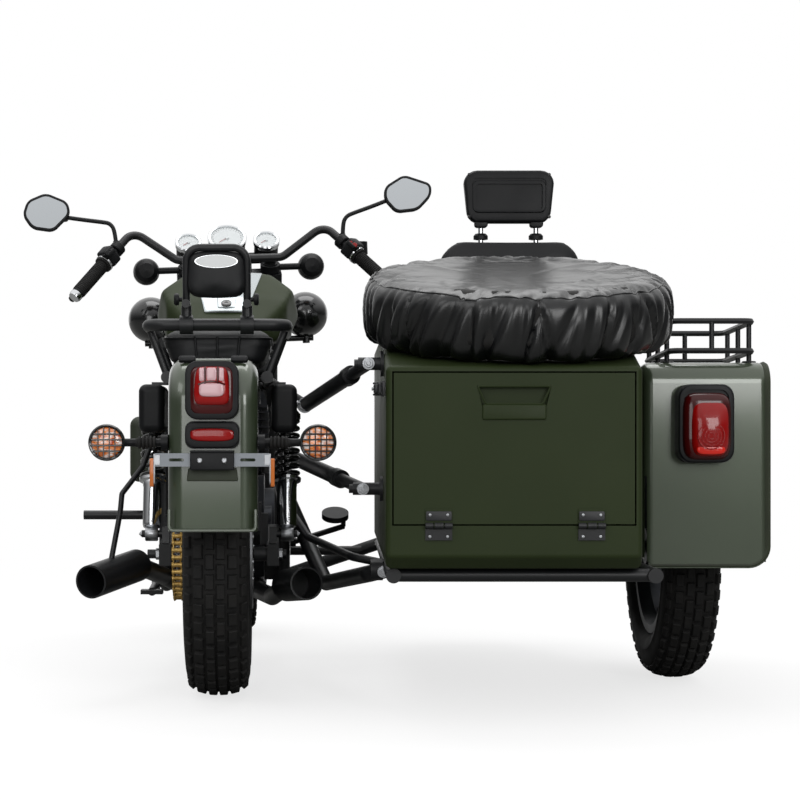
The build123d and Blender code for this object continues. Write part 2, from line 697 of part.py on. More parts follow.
def bike_frame():
    """Head tube, backbone, twin cradle, seat rails, pivot plates and lugs."""
    frame = rod(raked(0, 0, HEAD_BOTTOM_W), raked(0, 0, HEAD_TOP_W), 30)
    frame += bent_tube(BACKBONE, BACKBONE_R, 50)
    for side in (-1, 1):
        cradle = [
            (side * 14, STEER_Y + 98, 868), (side * 40, STEER_Y + 45, 765), (side * CRADLE_X, 940, 245),
            (side * CRADLE_X, 880, CRADLE_Z), (side * CRADLE_X, 455, CRADLE_Z), (side * CRADLE_X, 455, 590),
            (side * RAIL_X, 400, RAIL_Z - 4),
        ]
        frame += bent_tube(cradle, TUBE_R, 38)
        frame += rod((side * RAIL_X, BACKBONE[2][1], RAIL_Z), (side * RAIL_X, -160, RAIL_Z), RAIL_R)
        plate = side_plate([(372, 300), (372, 360), (400, 378), (470, 378), (470, 282), (400, 282)], -4, 4)
        frame += Pos(side * (ARM_X + ARM_W / 2 + 6), 0, 0) * plate
        frame += cross_bar(side * (FENDER_W / 2 + SEAT), side * RAIL_X, -60, RAIL_Z, 8)
        frame += block(40, 30, 6, (side * (RAIL_X + 20), -20, RAIL_Z - RAIL_R + 3))
        frame += cross_bar(side * RAIL_X, side * (SHOCK_X + 20), SHOCK_HEAD[1], SHOCK_HEAD[2], 8)
        frame += side_plate([(105, 636), (155, 636), (165, 690), (95, 690)], side * 110 - 6, side * 110 + 6)
        for y in (572, 815):
            lug_x = side * (CRADLE_X + CASE_X + SEAT) / 2
            frame += block(CRADLE_X - CASE_X - SEAT, 26, 50, (lug_x, y, CRADLE_Z + 33))
    frame += cross_bar(-RAIL_X, RAIL_X, BACKBONE[2][1], RAIL_Z, RAIL_R)
    frame += rod((RAIL_X, STRUT_LUG[1], RAIL_Z), STRUT_LUG, 14)
    frame -= rod(raked(0, 0, HEAD_BOTTOM_W - 30), raked(0, 0, HEAD_TOP_W + 30), STEM_R + FIT)
    frame -= cross_bar(-200, 200, PIVOT_Y, PIVOT_Z, 8 + FIT)
    return frame


# ---------------------------------------------------------------- bike bodywork
TANK_SIDE = [(566, 792), (566, 838), (650, 912), (800, 985), (920, 1000), (990, 966), (990, 905), (900, 812)]
TANK_FRONT = [(-70, 780), (-150, 812), (-182, 872), (-168, 936), (-112, 984), (-50, 1002)]
TANK_PLAN = [(-90, 566), (-150, 640), (-182, 760), (-176, 880), (-118, 934), (-58, 990)]


def soft_outline(points, radius):
    """A closed outline with its corners rounded."""
    face = make_face(Polyline(points, close=True))
    return fillet(face.vertices(), radius)


def fuel_tank():
    """A faceted tank over the backbone, with its corners rounded in all three views."""
    front = TANK_FRONT + [(-x, z) for x, z in reversed(TANK_FRONT)]
    plan = TANK_PLAN + [(-x, y) for x, y in reversed(TANK_PLAN)]
    side = extrude(soft_outline([(-200, y, z) for y, z in TANK_SIDE], 13), amount=400, dir=(1, 0, 0))
    across = extrude(soft_outline([(x, 500, z) for x, z in front], 18), amount=600, dir=(0, 1, 0))
    above = extrude(soft_outline([(x, y, 700) for x, y in plan], 22), amount=400, dir=(0, 0, 1))
    tank = side & across & above
    tunnel = bent_tube(BACKBONE, BACKBONE_R + SEAT, 50)
    head = BACKBONE[0]
    slot_side = [(500, 700), (640, 757), (head[1], head[2]), (head[1], 700)]
    slot = side_plate(slot_side, -BACKBONE_R - SEAT, BACKBONE_R + SEAT)
    return tank - tunnel - slot


def cushion(width, length, height, centre, round_):
    """A plain rounded cushion."""
    pad = block(width, length, height, centre)
    return fillet(pad.edges(), round_)


FENDER_TOP = 722.0
FENDER_REAR = -462.0
FENDER_FRONT = 150.0
FENDER_LOW = 376.0
FENDER_BEND = 95.0
FENDER_CROWN = 34.0


def rear_fender():
    """A deep channel from under the seat down to behind the tyre."""
    path = [(FENDER_FRONT, FENDER_TOP), (FENDER_REAR, FENDER_TOP), (FENDER_REAR, FENDER_LOW)]
    return channel_sweep(path, FENDER_BEND, FENDER_W, 84, SHEET, FENDER_CROWN)


def fender_room():
    """The fender with its inside filled, a seat clearance larger."""
    length = FENDER_FRONT - FENDER_REAR + SEAT
    height = FENDER_TOP - FENDER_LOW + SEAT
    centre = (0, FENDER_FRONT - length / 2, FENDER_TOP + SEAT - height / 2)
    room = block(400, length, height, centre)
    top_edges = room.edges().filter_by(Axis.X).sort_by(Axis.Z)[-2:]
    return fillet(top_edges.sort_by(Axis.Y)[0], FENDER_BEND + SEAT)


def tail_lamps():
    """The tail lamp and the reflector below it, on the fender's back."""
    lamp = block(104, 110, 114, (0, FENDER_REAR - 46 + 55, 654))
    lamp = fillet(lamp.edges().filter_by(Axis.Y), 24) - fender_room()
    reflector = block(106, 24, 54, (0, FENDER_REAR - 12 - SEAT, 567))
    reflector = fillet(reflector.edges().filter_by(Axis.Y), 16)
    return group(lamp, reflector)


PLATE_SLOT_X = 70.0
PLATE_SLOT_LENGTH = 30.0
PLATE_SLOT_R = 3.0


def plate_bracket():
    """A slotted strip on a centre block; it carries no plate."""
    depth = 20.0
    back = FENDER_REAR - SEAT - depth
    strip = block(224, 3, 26, (0, back - 1, 518))
    for x in (-PLATE_SLOT_X, PLATE_SLOT_X):
        slot = block(PLATE_SLOT_LENGTH - 2 * PLATE_SLOT_R, 10, 2 * PLATE_SLOT_R, (x, back, 518))
        for end in (-1, 1):
            middle = x + end * (PLATE_SLOT_LENGTH / 2 - PLATE_SLOT_R)
            slot += rod((middle, back - 5, 518), (middle, back + 5, 518), PLATE_SLOT_R)
        strip -= slot
    strip += block(84, depth, 32, (0, back + depth / 2, 516))
    return strip


def rear_signals():
    """Two stalked turn signals on bosses at the fender's sides."""
    x = 208.0
    y = FENDER_REAR + 30
    piece = signal(x, y - 10, 552, -1) + cross_bar(FENDER_W / 2 + SEAT, x, y, 552, 8)
    piece += cross_bar(FENDER_W / 2 + SEAT, FENDER_W / 2 + 14, y, 552, 16)
    return both_sides(piece)


def side_covers():
    """Black rounded boxes under the seat rails."""
    top = RAIL_Z - RAIL_R - SEAT
    box = block(56, 180, 104, (RAIL_X + 8 + 28, -20, top - 52))
    return both_sides(fillet(box.edges(), 16))


def filter_cover():
    """The green cover on the bike's left side, against the frame's upright."""
    inner = CRADLE_X + TUBE_R + SEAT
    cover = block(66, 220, 156, (-inner - 33, 490, 535))
    return fillet(cover.edges(), 22)


GRAB_X = RAIL_X + 41.0   # centre line of the grab rail, either side
GRAB_REAR = -175.0
GRAB_Z = 800.0
GRAB_R = 13.0
POST_R = 8.0


def pillion_seat():
    """The passenger's pad, which widens upwards between the grab rail's sloping posts."""
    room = POST_R + 6
    foot, top = FENDER_TOP + SEAT, GRAB_Z - 8
    lean = (GRAB_X - RAIL_X) / (GRAB_Z - RAIL_Z)
    low, high = (RAIL_X - room + lean * (z - RAIL_Z) for z in (foot, top))
    rear, front = GRAB_REAR + 24, 238
    section = [(-low, foot), (low, foot), (high, top), (-high, top)]
    pad = front_plate(section, rear, front)
    return fillet(pad.edges(), 18)


def grab_rail():
    """A round rail round the pillion seat, on posts down to the seat rails."""
    plan = [(-GRAB_X, 220), (-GRAB_X, GRAB_REAR), (GRAB_X, GRAB_REAR), (GRAB_X, 220)]
    rail = bent_tube([(x, y, GRAB_Z) for x, y in plan], GRAB_R, 44)
    for side in (-1, 1):
        for y in (-120, 180):
            foot = (side * RAIL_X, y, RAIL_Z)
            post = rod(foot, (side * GRAB_X, y, GRAB_Z), POST_R)
            seat_rail = rod((side * RAIL_X, y - 60, RAIL_Z), (side * RAIL_X, y + 60, RAIL_Z), RAIL_R + SEAT)
            rail += post - seat_rail
    return rail


def backrest_frame():
    """A tube loop on two legs that clamp to the grab rail."""
    foot, head = (GRAB_REAR, GRAB_Z + 26), (GRAB_REAR - 30, GRAB_Z + 160)
    loop = bent_tube([(-64, *foot), (-64, *head), (64, *head), (64, *foot)], 8, 30)
    for side in (-1, 1):
        loop += rod((side * 64, GRAB_REAR, GRAB_Z), (side * 64, GRAB_REAR, GRAB_Z + 40), 11)
        loop += cross_bar(side * 50, side * 78, GRAB_REAR, GRAB_Z, 20)
        loop += rod((side * 64, GRAB_REAR - 3, GRAB_Z + 43), (side * 64, GRAB_REAR - 31, GRAB_Z + 43), 9)
    return loop - cross_bar(-120, 120, GRAB_REAR, GRAB_Z, GRAB_R + SEAT)


def foot_controls():
    """Footpegs either side, the brake pedal and the gear lever."""
    upright = CRADLE_X + TUBE_R + SEAT
    left = cross_bar(-340, -upright, 455, 376, 11)
    right = cross_bar(upright, 330, 455, 290, 11)
    pedal = Pos(270, 560, 372) * Rot(24, 0, 0) * Cylinder(33, 14)
    pedal += rod((290, 560, 368), (290, 560, 344), 6) + rod((290, 560, 344), (upright + 8, 470, 310), 7)
    pedal += rod((upright, 470, 310), (upright + 14, 470, 310), 12)
    clear = rod((CRADLE_X, 455, 200), (CRADLE_X, 455, 560), TUBE_R + SEAT)
    return group(left, right, pedal - clear)


STAND_PIVOT = (-CRADLE_X - TUBE_R - 12, 560, CRADLE_Z)
STAND_LENGTH = 190.0


def side_stand():
    """The folded stand: a leg that lies back along the left cradle tube."""
    x, y, z = STAND_PIVOT
    leg = rod((x, y, z), (x, y - STAND_LENGTH, z - 8), 10)
    leg += cross_bar(x - 8, x + 8, y, z, 17)
    leg += Pos(x, y - STAND_LENGTH, z - 8) * Box(52, 44, 10)
    return leg - cross_bar(x - 30, x + 30, y, z, 7 + FIT)


def stand_pin():
    """The stand's pivot pin, on the frame."""
    x, y, z = STAND_PIVOT
    return cross_bar(x - 12, -CRADLE_X, y, z, 7)


def bike_pieces():
    """Everything fixed to the bike's frame."""
    nodes["swingarm"] = swingarm()
    nodes["shock_absorbers"] = shock_absorbers()
    nodes["chain"] = chain()
    nodes["engine"] = engine()
    nodes["engine_cylinders"] = engine_cylinders()
    nodes["exhausts"] = exhausts()
    nodes["bike_frame"] = bike_frame() + stand_pin()
    nodes["fuel_tank"] = fuel_tank()
    rider_w = 2 * (RAIL_X + RAIL_R + 6)
    rider = cushion(rider_w, 310, 84, (0, 396, RAIL_Z + RAIL_R + SEAT + 42), 26)
    nodes["bike_seats"] = group(rider, pillion_seat())
    nodes["rear_fender"] = rear_fender()
    nodes["tail_lamps"] = tail_lamps()
    nodes["plate_bracket"] = plate_bracket()
    nodes["rear_signals"] = rear_signals()
    nodes["side_covers"] = side_covers()
    nodes["filter_cover"] = filter_cover()
    nodes["grab_rail"] = grab_rail()
    nodes["backrest_frame"] = backrest_frame()
    pad = block(111, 34, 86, (0, -198, 905))
    nodes["backrest_pad"] = fillet(pad.edges().filter_by(Axis.Y), 24)
    nodes["foot_controls"] = foot_controls()
    nodes["side_stand"] = side_stand()


# ---------------------------------------------------------------- sidecar
RAIL_RIGHT = BODY_RIGHT - 22
LOW_Z = BODY_BOTTOM - 15 - SEAT
LOW_R = 15.0
ARM_SIDE_X = 932.0


def wall_x(y):
    """Where the body's left wall stands at a distance ahead of the rear axle."""
    return BODY_LEFT + LEFT_TAPER * (y - TAIL_Y)


def rail_left(y):
    """The centre of the frame's left rail, just inside the left wall."""
    return wall_x(y) + 16


def sidecar_frame():
    """A ladder of tubes under the body, with the front and rear lugs."""
    loop = [
        (rail_left(-480), -480, LOW_Z), (rail_left(820), 820, LOW_Z), (rail_left(820) + 90, 1080, LOW_Z),
        (RAIL_RIGHT - 90, 1080, LOW_Z), (RAIL_RIGHT, 820, LOW_Z), (RAIL_RIGHT, -480, LOW_Z),
    ]
    frame = bent_tube(loop, LOW_R, 60)
    for y in (-460, -60, 640):
        frame += cross_bar(rail_left(y), RAIL_RIGHT, y, LOW_Z, 13)
    frame += cross_bar(RAIL_RIGHT, ARM_SIDE_X + 14, 640, LOW_Z, 11)
    return frame


def sidecar_axle_arm():
    """The trailing arm, its stub axle and the damper above it."""
    x = ARM_SIDE_X
    arm_side = [(612, 272), (662, 272), (662, 312), (360, 336), (315, 336), (315, 282)]
    arm = Pos(x, 0, 0) * side_plate(arm_side, -12, 12)
    arm -= cross_bar(x - 40, x + 40, 640, LOW_Z, 11 + FIT)
    arm += cross_bar(x, SIDE_WHEEL_X + 66, SIDE_WHEEL_LEAD, TYRE_R, AXLE_R)
    arm += cross_bar(x, SIDE_WHEEL_X - 62, SIDE_WHEEL_LEAD, TYRE_R, AXLE_R + 8)
    damper = rod((x, 380, 325), (x, 330, 470), 15) + rod((x, 330, 470), (x, 305, 560), 9)
    damper += cross_bar(BODY_RIGHT + SEAT, x + 14, 305, 566, 13)
    return arm + damper


def body_outline(inset):
    """The sidecar body's outer form, or its inside when inset is the wall."""
    side = make_face(Polyline([(0, y, z) for y, z in [
        (TAIL_Y, 330), (TAIL_Y, DECK_REAR_Z), (DECK_FRONT_Y, DECK_FRONT_Z), (180, SILL_Z), (880, SILL_Z),
        (NOSE_Y, 620), (NOSE_Y, 430), (1040, BODY_BOTTOM), (-500, BODY_BOTTOM),
    ]], close=True))
    plan = make_face(Polyline([(x, y, 0) for x, y in [
        (BODY_LEFT, TAIL_Y), (TAIL_RIGHT, TAIL_Y), (BODY_RIGHT, 60), (BODY_RIGHT, 880),
        (BODY_RIGHT - 90, NOSE_Y), (wall_x(880) + 90, NOSE_Y), (wall_x(880), 880),
    ]], close=True))
    if inset:
        side = offset(side, amount=-inset)
        plan = offset(plan, amount=-inset)
    long_way = Pos(200, 0, 0) * extrude(side, amount=900, dir=(1, 0, 0))
    upright = Pos(0, 0, 200) * extrude(plan, amount=900, dir=(0, 0, 1))
    form = long_way & upright
    return form if inset else fillet(form.edges(), BODY_ROUND)


BULKHEAD_Y = 100.0
COCKPIT = (428.0, BODY_RIGHT - 50, 140.0, 850.0)
SEAT_X = 662.0
SEAT_Y = 500.0
SEAT_BASE = 110.0    # height of the seat's box above the floor
SEAT_TOP = BODY_BOTTOM + SEAT_BASE + 120 + 2 * SEAT
BACK_T = 92.0
BACK_Y = COCKPIT[2] + SEAT + BACK_T / 2
BACK_TOP = 1027.0


def sidecar_body():
    """The hollow tub: boot behind, cockpit in front, a bulkhead between them."""
    body = body_outline(0)
    inside = body_outline(BODY_WALL)
    inside -= block(900, BODY_WALL, 900, (600, BULKHEAD_Y, 600))
    inside -= block(330, 540, SEAT_BASE, (SEAT_X - 20, SEAT_Y, BODY_BOTTOM + SEAT_BASE / 2))
    body -= inside
    left, right, rear, front = COCKPIT
    body -= block(right - left, front - rear, 200, ((left + right) / 2, (rear + front) / 2, SILL_Z))
    gate = gate_outline(3)
    body -= gate
    return body


def gate_outline(grow):
    """The tailgate's block, grown by its gap."""
    width = TAIL_RIGHT - BODY_LEFT - 2 * GATE_MARGIN
    height = DECK_REAR_Z - 10 - HINGE_Z
    centre = ((BODY_LEFT + TAIL_RIGHT) / 2, TAIL_Y + GATE_T / 2, HINGE_Z + height / 2)
    return block(width - 6 + 2 * grow, GATE_T + (40 if grow else 0), height - 6 + 2 * grow, centre)


HINGE_PLACES = (440.0, 736.0)
HINGE_W = 52.0
KNUCKLE_R = 6.0
HINGE_Y = TAIL_Y - KNUCKLE_R - SEAT


def knuckle(x, share_from, share_to, radius):
    """Part of a hinge's barrel at a hinge place."""
    left = x - HINGE_W / 2
    return cross_bar(left + HINGE_W * share_from, left + HINGE_W * share_to, HINGE_Y, HINGE_Z, radius)


def tailgate():
    """The boot's door, with a pressed handle recess and its hinge leaves."""
    gate = gate_outline(0)
    centre_x = (BODY_LEFT + TAIL_RIGHT) / 2
    recess = front_plate([(-72, 34), (72, 34), (56, -32), (-56, -32)], TAIL_Y - 1, TAIL_Y + 12)
    gate -= Pos(centre_x, 0, 628) * recess
    for x in HINGE_PLACES:
        gate += block(HINGE_W, 3, 30, (x, TAIL_Y - 1.5, HINGE_Z + 17))
        gate += knuckle(x, 0.3, 0.7, KNUCKLE_R)
        gate -= knuckle(x, 0, 1, 2.5 + FIT)
        gate -= knuckle(x, 0, 0.32, KNUCKLE_R + SEAT) + knuckle(x, 0.68, 1, KNUCKLE_R + SEAT)
    return gate


def tailgate_hinges():
    """The fixed leaves below the tailgate, with their pins."""
    hinges = []
    for x in HINGE_PLACES:
        leaf = block(HINGE_W, 3, 26, (x, TAIL_Y - 1.5 - SEAT, HINGE_Z - 15))
        leaf += knuckle(x, 0, 0.28, KNUCKLE_R) + knuckle(x, 0.72, 1, KNUCKLE_R)
        leaf -= knuckle(x, 0.29, 0.71, KNUCKLE_R + 1)
        hinges.append(leaf + knuckle(x, 0, 1, 2.5))
    return group(*hinges)


def windscreen():
    """A low clear screen ahead of the cockpit."""
    front = COCKPIT[3] + 12
    outline = [(front, SILL_Z + SEAT), (front + 4, SILL_Z + SEAT), (front - 56, 930), (front - 60, 930)]
    return side_plate(outline, COCKPIT[0] - 8, COCKPIT[1] + 8)


def headrest():
    """A padded rest with two posts in sockets on the seat back."""
    pad = fillet(block(210, 44, 124, (SEAT_X, BACK_Y, BACK_TOP + 94)).edges(), 14)
    for side in (-1, 1):
        x = SEAT_X + side * 63
        pad += rod((x, BACK_Y, BACK_TOP + SEAT), (x, BACK_Y, BACK_TOP + 38), 6)
        pad += rod((x, BACK_Y, BACK_TOP + SEAT), (x, BACK_Y, BACK_TOP + 17), 16)
    return pad


DECK_SLOPE = degrees(atan2(DECK_FRONT_Z - DECK_REAR_Z, DECK_FRONT_Y - TAIL_Y))
COVER_HALF = SPARE_W / 2 + SEAT + COVER_T
DECK_AT_SPARE = DECK_REAR_Z + (SPARE_Y - TAIL_Y) * (DECK_FRONT_Z - DECK_REAR_Z) / (DECK_FRONT_Y - TAIL_Y)
SPARE_PLACE = (
    Pos(SPARE_X, SPARE_Y, DECK_AT_SPARE) * Rot(DECK_SLOPE, 0, 0) * Pos(0, 0, COVER_HALF + SEAT)
)


def spare_pieces():
    """The spare wheel flat on the rear deck, and its cover."""
    lying = SPARE_PLACE * Rot(0, 90, 0)
    nodes["spare_wheel"] = group(lying * tyre(SPARE_W), lying * cast_wheel(SPARE_W, 120))
    outer = Cylinder(TYRE_R + 3 + COVER_T, 2 * COVER_HALF)
    outer = fillet(outer.edges(), 30)
    outer -= Cylinder(TYRE_R + 3, 2 * (COVER_HALF - COVER_T))
    outer -= Pos(0, 0, -COVER_HALF) * Cylinder(TYRE_R - 70, 2 * COVER_T + 2)
    nodes["spare_cover"] = SPARE_PLACE * outer


FENDER_BACK = -120.0
FENDER_NOSE = 748.0
FENDER_FLAT = 726.0
FENDER_FRONT_Y = 560.0
FENDER_FRONT_Z = 698.0
# side outline of the fender, from the foot of its rear face round to its front edge
FENDER_SIDE = [
    (FENDER_BACK, 284), (FENDER_BACK, FENDER_FLAT), (FENDER_FRONT_Y, FENDER_FRONT_Z),
    (FENDER_NOSE, 560), (FENDER_NOSE, 400),
    (SIDE_WHEEL_LEAD, 400),
]
FENDER_ROUND = 46.0  # radius of its top corners, seen from the side
FENDER_EDGE = 20.0   # radius of its long edges
FENDER_CORNER = 24.0 # cut across its rear face's lower corner, on the body's side
FENDER_SWEEP = 46.0  # radius of the same face's outer lower corner
ARCH_R = TYRE_R + 26
FENDER_WALL = 4.0


def fender_form(inset):
    """The fender's outer form, or the space inside it when inset is its wall."""
    half = SIDE_FENDER_W / 2 - inset
    outline = make_face(Polyline([(SIDE_FENDER_X - half, y, z) for y, z in FENDER_SIDE], close=True))
    outline = fillet([v for v in outline.vertices() if v.Z > 500], FENDER_ROUND)
    if inset:
        outline = offset(outline, amount=-inset)
    form = extrude(outline, amount=2 * half, dir=(1, 0, 0))
    low = [e for e in form.edges() if e.bounding_box().max.Z > 420 and e.bounding_box().size.X < 1]
    return fillet(low, FENDER_EDGE - inset)


def sidecar_fender():
    """A wide boxy guard over the sidecar wheel, with an arch in each side."""
    inner = SIDE_FENDER_X - SIDE_FENDER_W / 2
    outer = SIDE_FENDER_X + SIDE_FENDER_W / 2
    length = FENDER_NOSE - FENDER_BACK
    room = block(SIDE_FENDER_W, length, 200, (SIDE_FENDER_X, FENDER_BACK + length / 2, 360))
    room = block(SIDE_FENDER_W - 2 * FENDER_WALL, length - 2 * FENDER_WALL, 240, room.center())
    guard = fender_form(0) - fender_form(FENDER_WALL) - room
    guard -= cross_bar(inner - 10, outer + 10, SIDE_WHEEL_LEAD, TYRE_R, ARCH_R)
    foot = FENDER_SIDE[0][1]
    behind, ahead = FENDER_BACK - 1, FENDER_BACK + 2 * FENDER_EDGE
    corner = [(inner - 1, foot - 1), (inner + FENDER_CORNER, foot - 1), (inner - 1, foot + FENDER_CORNER)]
    guard -= front_plate(corner, behind, ahead)
    edge, level = outer - FENDER_SWEEP, foot + FENDER_SWEEP
    square = [(edge, foot - 1), (outer + 1, foot - 1), (outer + 1, level), (edge, level)]
    round_ = rod((edge, behind - 1, level), (edge, ahead + 1, level), FENDER_SWEEP)
    guard -= front_plate(square, behind, ahead) - round_
    for y, z in ((-40, 640), (600, 560)):
        guard += cross_bar(BODY_RIGHT + SEAT, inner + FENDER_WALL, y, z, 12)
    return guard


def sidecar_lamp():
    """The sidecar's rear lamp."""
    lamp = block(118, 40, 166, (1035, FENDER_BACK - 20 - SEAT, 592))
    return fillet(lamp.edges().filter_by(Axis.Y), 26)


def fender_rack():
    """A small rail on posts over the sidecar fender."""
    rear_y, front_y = -92.0, 200.0

    def top(y, lift):
        slope = (FENDER_FRONT_Z - FENDER_FLAT) / (FENDER_FRONT_Y - FENDER_BACK)
        return FENDER_FLAT + (y - FENDER_BACK) * slope + lift

    left, right = 972.0, 1150.0
    pieces = []
    for lift in (24, 88):
        ring = [
            (left + 60, rear_y, top(rear_y, lift)), (right, rear_y, top(rear_y, lift)),
            (right, front_y, top(front_y, lift)), (left, front_y, top(front_y, lift)),
            (left, rear_y, top(rear_y, lift)), (left + 50, rear_y, top(rear_y, lift)),
        ]
        pieces.append(bent_tube(ring, 6, 22))
    rack = pieces[0] + pieces[1]
    for x in (left, right):
        for y in (rear_y + 40, front_y - 40):
            rack += rod((x, y, top(y, SEAT + 0.3)), (x, y, top(y, 88)), 5)
    return rack


def strut(start, end, radius, lug_x):
    """A telescopic tube from a bike lug to a clevis, with the lug on the sidecar."""
    first = Vector(*start)
    last = Vector(*end)
    along = (last - first).normalized()
    length = (last - first).length

    def at(distance):
        point = first + along * distance
        return (point.X, point.Y, point.Z)

    tube = rod(at(0), at(length * 0.72), radius) + rod(at(length * 0.7), at(length), radius - 4)
    tube += rod(at(length * 0.7), at(length * 0.76), radius + 3)
    tube += cross_bar(end[0] - 20, lug_x, end[1], end[2], 13)
    tube += cross_bar(end[0] - 28, end[0] - 20, end[1], end[2], 9)
    return tube + cross_bar(lug_x - 6, lug_x, end[1], end[2], 26)


# the bent lower tube, from the bike's cradle under the sidecar's left rail
LOW_TUBE = [
    (CRADLE_X, 455, 440), (200, 400, 310), (240, 250, 226), (322, -140, LOW_Z - 18), (354, -170, LOW_Z - 8),
]
# a thin stay above it, from the cradle to the rail
STAY = [(CRADLE_X, 455, 410), (200, 300, 330), (290, -60, 304), (356, -90, 292)]


def sidecar_struts():
    """The links between the bike's frame and the sidecar."""
    upper_y, middle_y = -330, -250
    upper = strut(STRUT_LUG, (312, upper_y, 712), 17, wall_x(upper_y - 26) - SEAT)
    upper -= rod((RAIL_X, STRUT_LUG[1], RAIL_Z), STRUT_LUG, 14 + SEAT)
    middle = strut((CRADLE_X, 455, 525), (304, middle_y, 456), 17, wall_x(middle_y - 26) - SEAT)
    low = bent_tube(LOW_TUBE, 18, 20)
    stay = bent_tube(STAY, 9, 30)
    front = rod((CRADLE_X, 820, CRADLE_Z), (rail_left(820), 820, LOW_Z), 16)
    clear = rod((CRADLE_X, 455, 200), (CRADLE_X, 455, 560), TUBE_R + SEAT)
    clear += rod((CRADLE_X, 455, CRADLE_Z), (CRADLE_X, 880, CRADLE_Z), TUBE_R + SEAT)
    clear += rod((rail_left(-480), -480, LOW_Z), (rail_left(840), 840, LOW_Z), LOW_R + SEAT)
    low_end = cross_bar(LOW_TUBE[-1][0] - 30, LOW_TUBE[-1][0] - 4, LOW_TUBE[-1][1], LOW_TUBE[-1][2], 22)
    low += low_end
    return group(upper, middle - clear, low - clear, stay - clear, front - clear)


def sidecar_pieces():
    """Everything fixed to the sidecar."""
    nodes["sidecar_frame"] = sidecar_frame()
    nodes["sidecar_axle_arm"] = sidecar_axle_arm()
    nodes["sidecar_body"] = sidecar_body()
    nodes["tailgate"] = tailgate()
    nodes["tailgate_hinges"] = tailgate_hinges()
    nodes["windscreen"] = windscreen()
    nodes["sidecar_seat"] = cushion(330, 540, 120, (SEAT_X - 20, SEAT_Y, SEAT_TOP - SEAT - 60), 30)
    back_centre = (SEAT_X, BACK_Y, (BACK_TOP + SEAT_TOP) / 2)
    nodes["sidecar_backrest"] = cushion(328, BACK_T, BACK_TOP - SEAT_TOP, back_centre, 30)
    nodes["headrest"] = headrest()
    spare_pieces()
    nodes["sidecar_fender"] = sidecar_fender()
    nodes["sidecar_lamp"] = sidecar_lamp()
    nodes["fender_rack"] = fender_rack()
    nodes["sidecar_struts"] = sidecar_struts()


# ---------------------------------------------------------------- write every piece
rear_wheel_pieces()
sidecar_wheel_pieces()
steering_pieces()
bike_pieces()
sidecar_pieces()

whole = Compound(children=[Compound(children=shape.solids()) for shape in nodes.values()])
box = whole.bounding_box()
ORIGIN = Vector((box.min.X + box.max.X) / 2, (box.min.Y + box.max.Y) / 2, box.min.Z)

os.makedirs("parts", exist_ok=True)
for name, shape in nodes.items():
    export_step(Compound(children=shape.solids()).moved(Location(-ORIGIN)), f"parts/{name}.step")
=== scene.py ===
"""Looks of a sidecar motorcycle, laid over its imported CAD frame.

Every size is in metres in the frame's own axes: +Y is forward, +X is to the rider's right and
+Z is up. Places are given in millimetres from the rear axle's point on the ground, through at().
"""
import math
import random
from collections import namedtuple

import bmesh
import bpy
from bpy.props import FloatProperty, IntProperty, PointerProperty
from mathutils import Matrix, Vector


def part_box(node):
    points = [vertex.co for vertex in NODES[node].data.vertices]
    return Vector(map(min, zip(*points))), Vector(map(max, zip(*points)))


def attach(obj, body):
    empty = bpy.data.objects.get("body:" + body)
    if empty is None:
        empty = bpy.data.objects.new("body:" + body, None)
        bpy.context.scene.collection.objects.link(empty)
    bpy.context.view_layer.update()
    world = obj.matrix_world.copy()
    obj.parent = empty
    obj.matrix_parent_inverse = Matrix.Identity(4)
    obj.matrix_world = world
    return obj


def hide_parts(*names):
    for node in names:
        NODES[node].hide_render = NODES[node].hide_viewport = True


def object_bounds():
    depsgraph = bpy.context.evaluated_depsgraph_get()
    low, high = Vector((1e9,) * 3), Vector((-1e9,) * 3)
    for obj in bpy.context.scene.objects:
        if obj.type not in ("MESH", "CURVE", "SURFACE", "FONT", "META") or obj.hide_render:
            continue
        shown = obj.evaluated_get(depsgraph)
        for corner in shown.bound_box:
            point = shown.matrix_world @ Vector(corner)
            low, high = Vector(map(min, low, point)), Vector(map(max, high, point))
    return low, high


bl_info = {
    "name": "Sidecar motorcycle looks",
    "version": (1, 0, 0),
    "blender": (4, 5, 0),
    "location": "View3D > Sidebar > Motorcycle",
    "description": "Finishes, upholstery and hardware for the sidecar motorcycle",
    "category": "Object",
}

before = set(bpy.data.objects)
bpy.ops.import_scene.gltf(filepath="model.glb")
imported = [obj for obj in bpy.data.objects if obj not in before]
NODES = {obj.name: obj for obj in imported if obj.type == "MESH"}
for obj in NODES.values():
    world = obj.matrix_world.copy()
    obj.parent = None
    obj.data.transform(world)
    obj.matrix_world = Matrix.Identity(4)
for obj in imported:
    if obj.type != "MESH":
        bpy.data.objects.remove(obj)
CAD_BOX = [list(corner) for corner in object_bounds()]


def middle(node):
    """The centre of a CAD node's box."""
    low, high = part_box(node)
    return (low + high) / 2


# Places are given from the ground under the rear tyre's centre, AXLE_Z mm below it
AXLE_Z = 307
TYRE_R = AXLE_Z / 1000
GROUND_POINT = middle("rear_tyre") - Vector((0, 0, TYRE_R))
WHEELBASE = 1450
RAKE = math.radians(27)
STEER_REST = math.radians(5)
# The fork's axle stands ahead of the steering's axis, which leans back by the rake
FORK_OFFSET = 45
STEER_UP = Vector((0, -math.sin(RAKE), math.cos(RAKE)))
STEER_AHEAD = Vector((0, math.cos(RAKE), math.sin(RAKE)))
STEER_FOOT = Vector((0, WHEELBASE - FORK_OFFSET * math.cos(RAKE), AXLE_Z - FORK_OFFSET * math.sin(RAKE)))


def at(x, y, z):
    """A place in the frame, from millimetres beside, ahead of and above the rear axle's ground point."""
    return GROUND_POINT + Vector((x, y, z)) / 1000


def beside(side, place):
    """A place in mm that is given for the right, or with side = -1 its mirror image on the left."""
    return at(side * place[0], *place[1:])


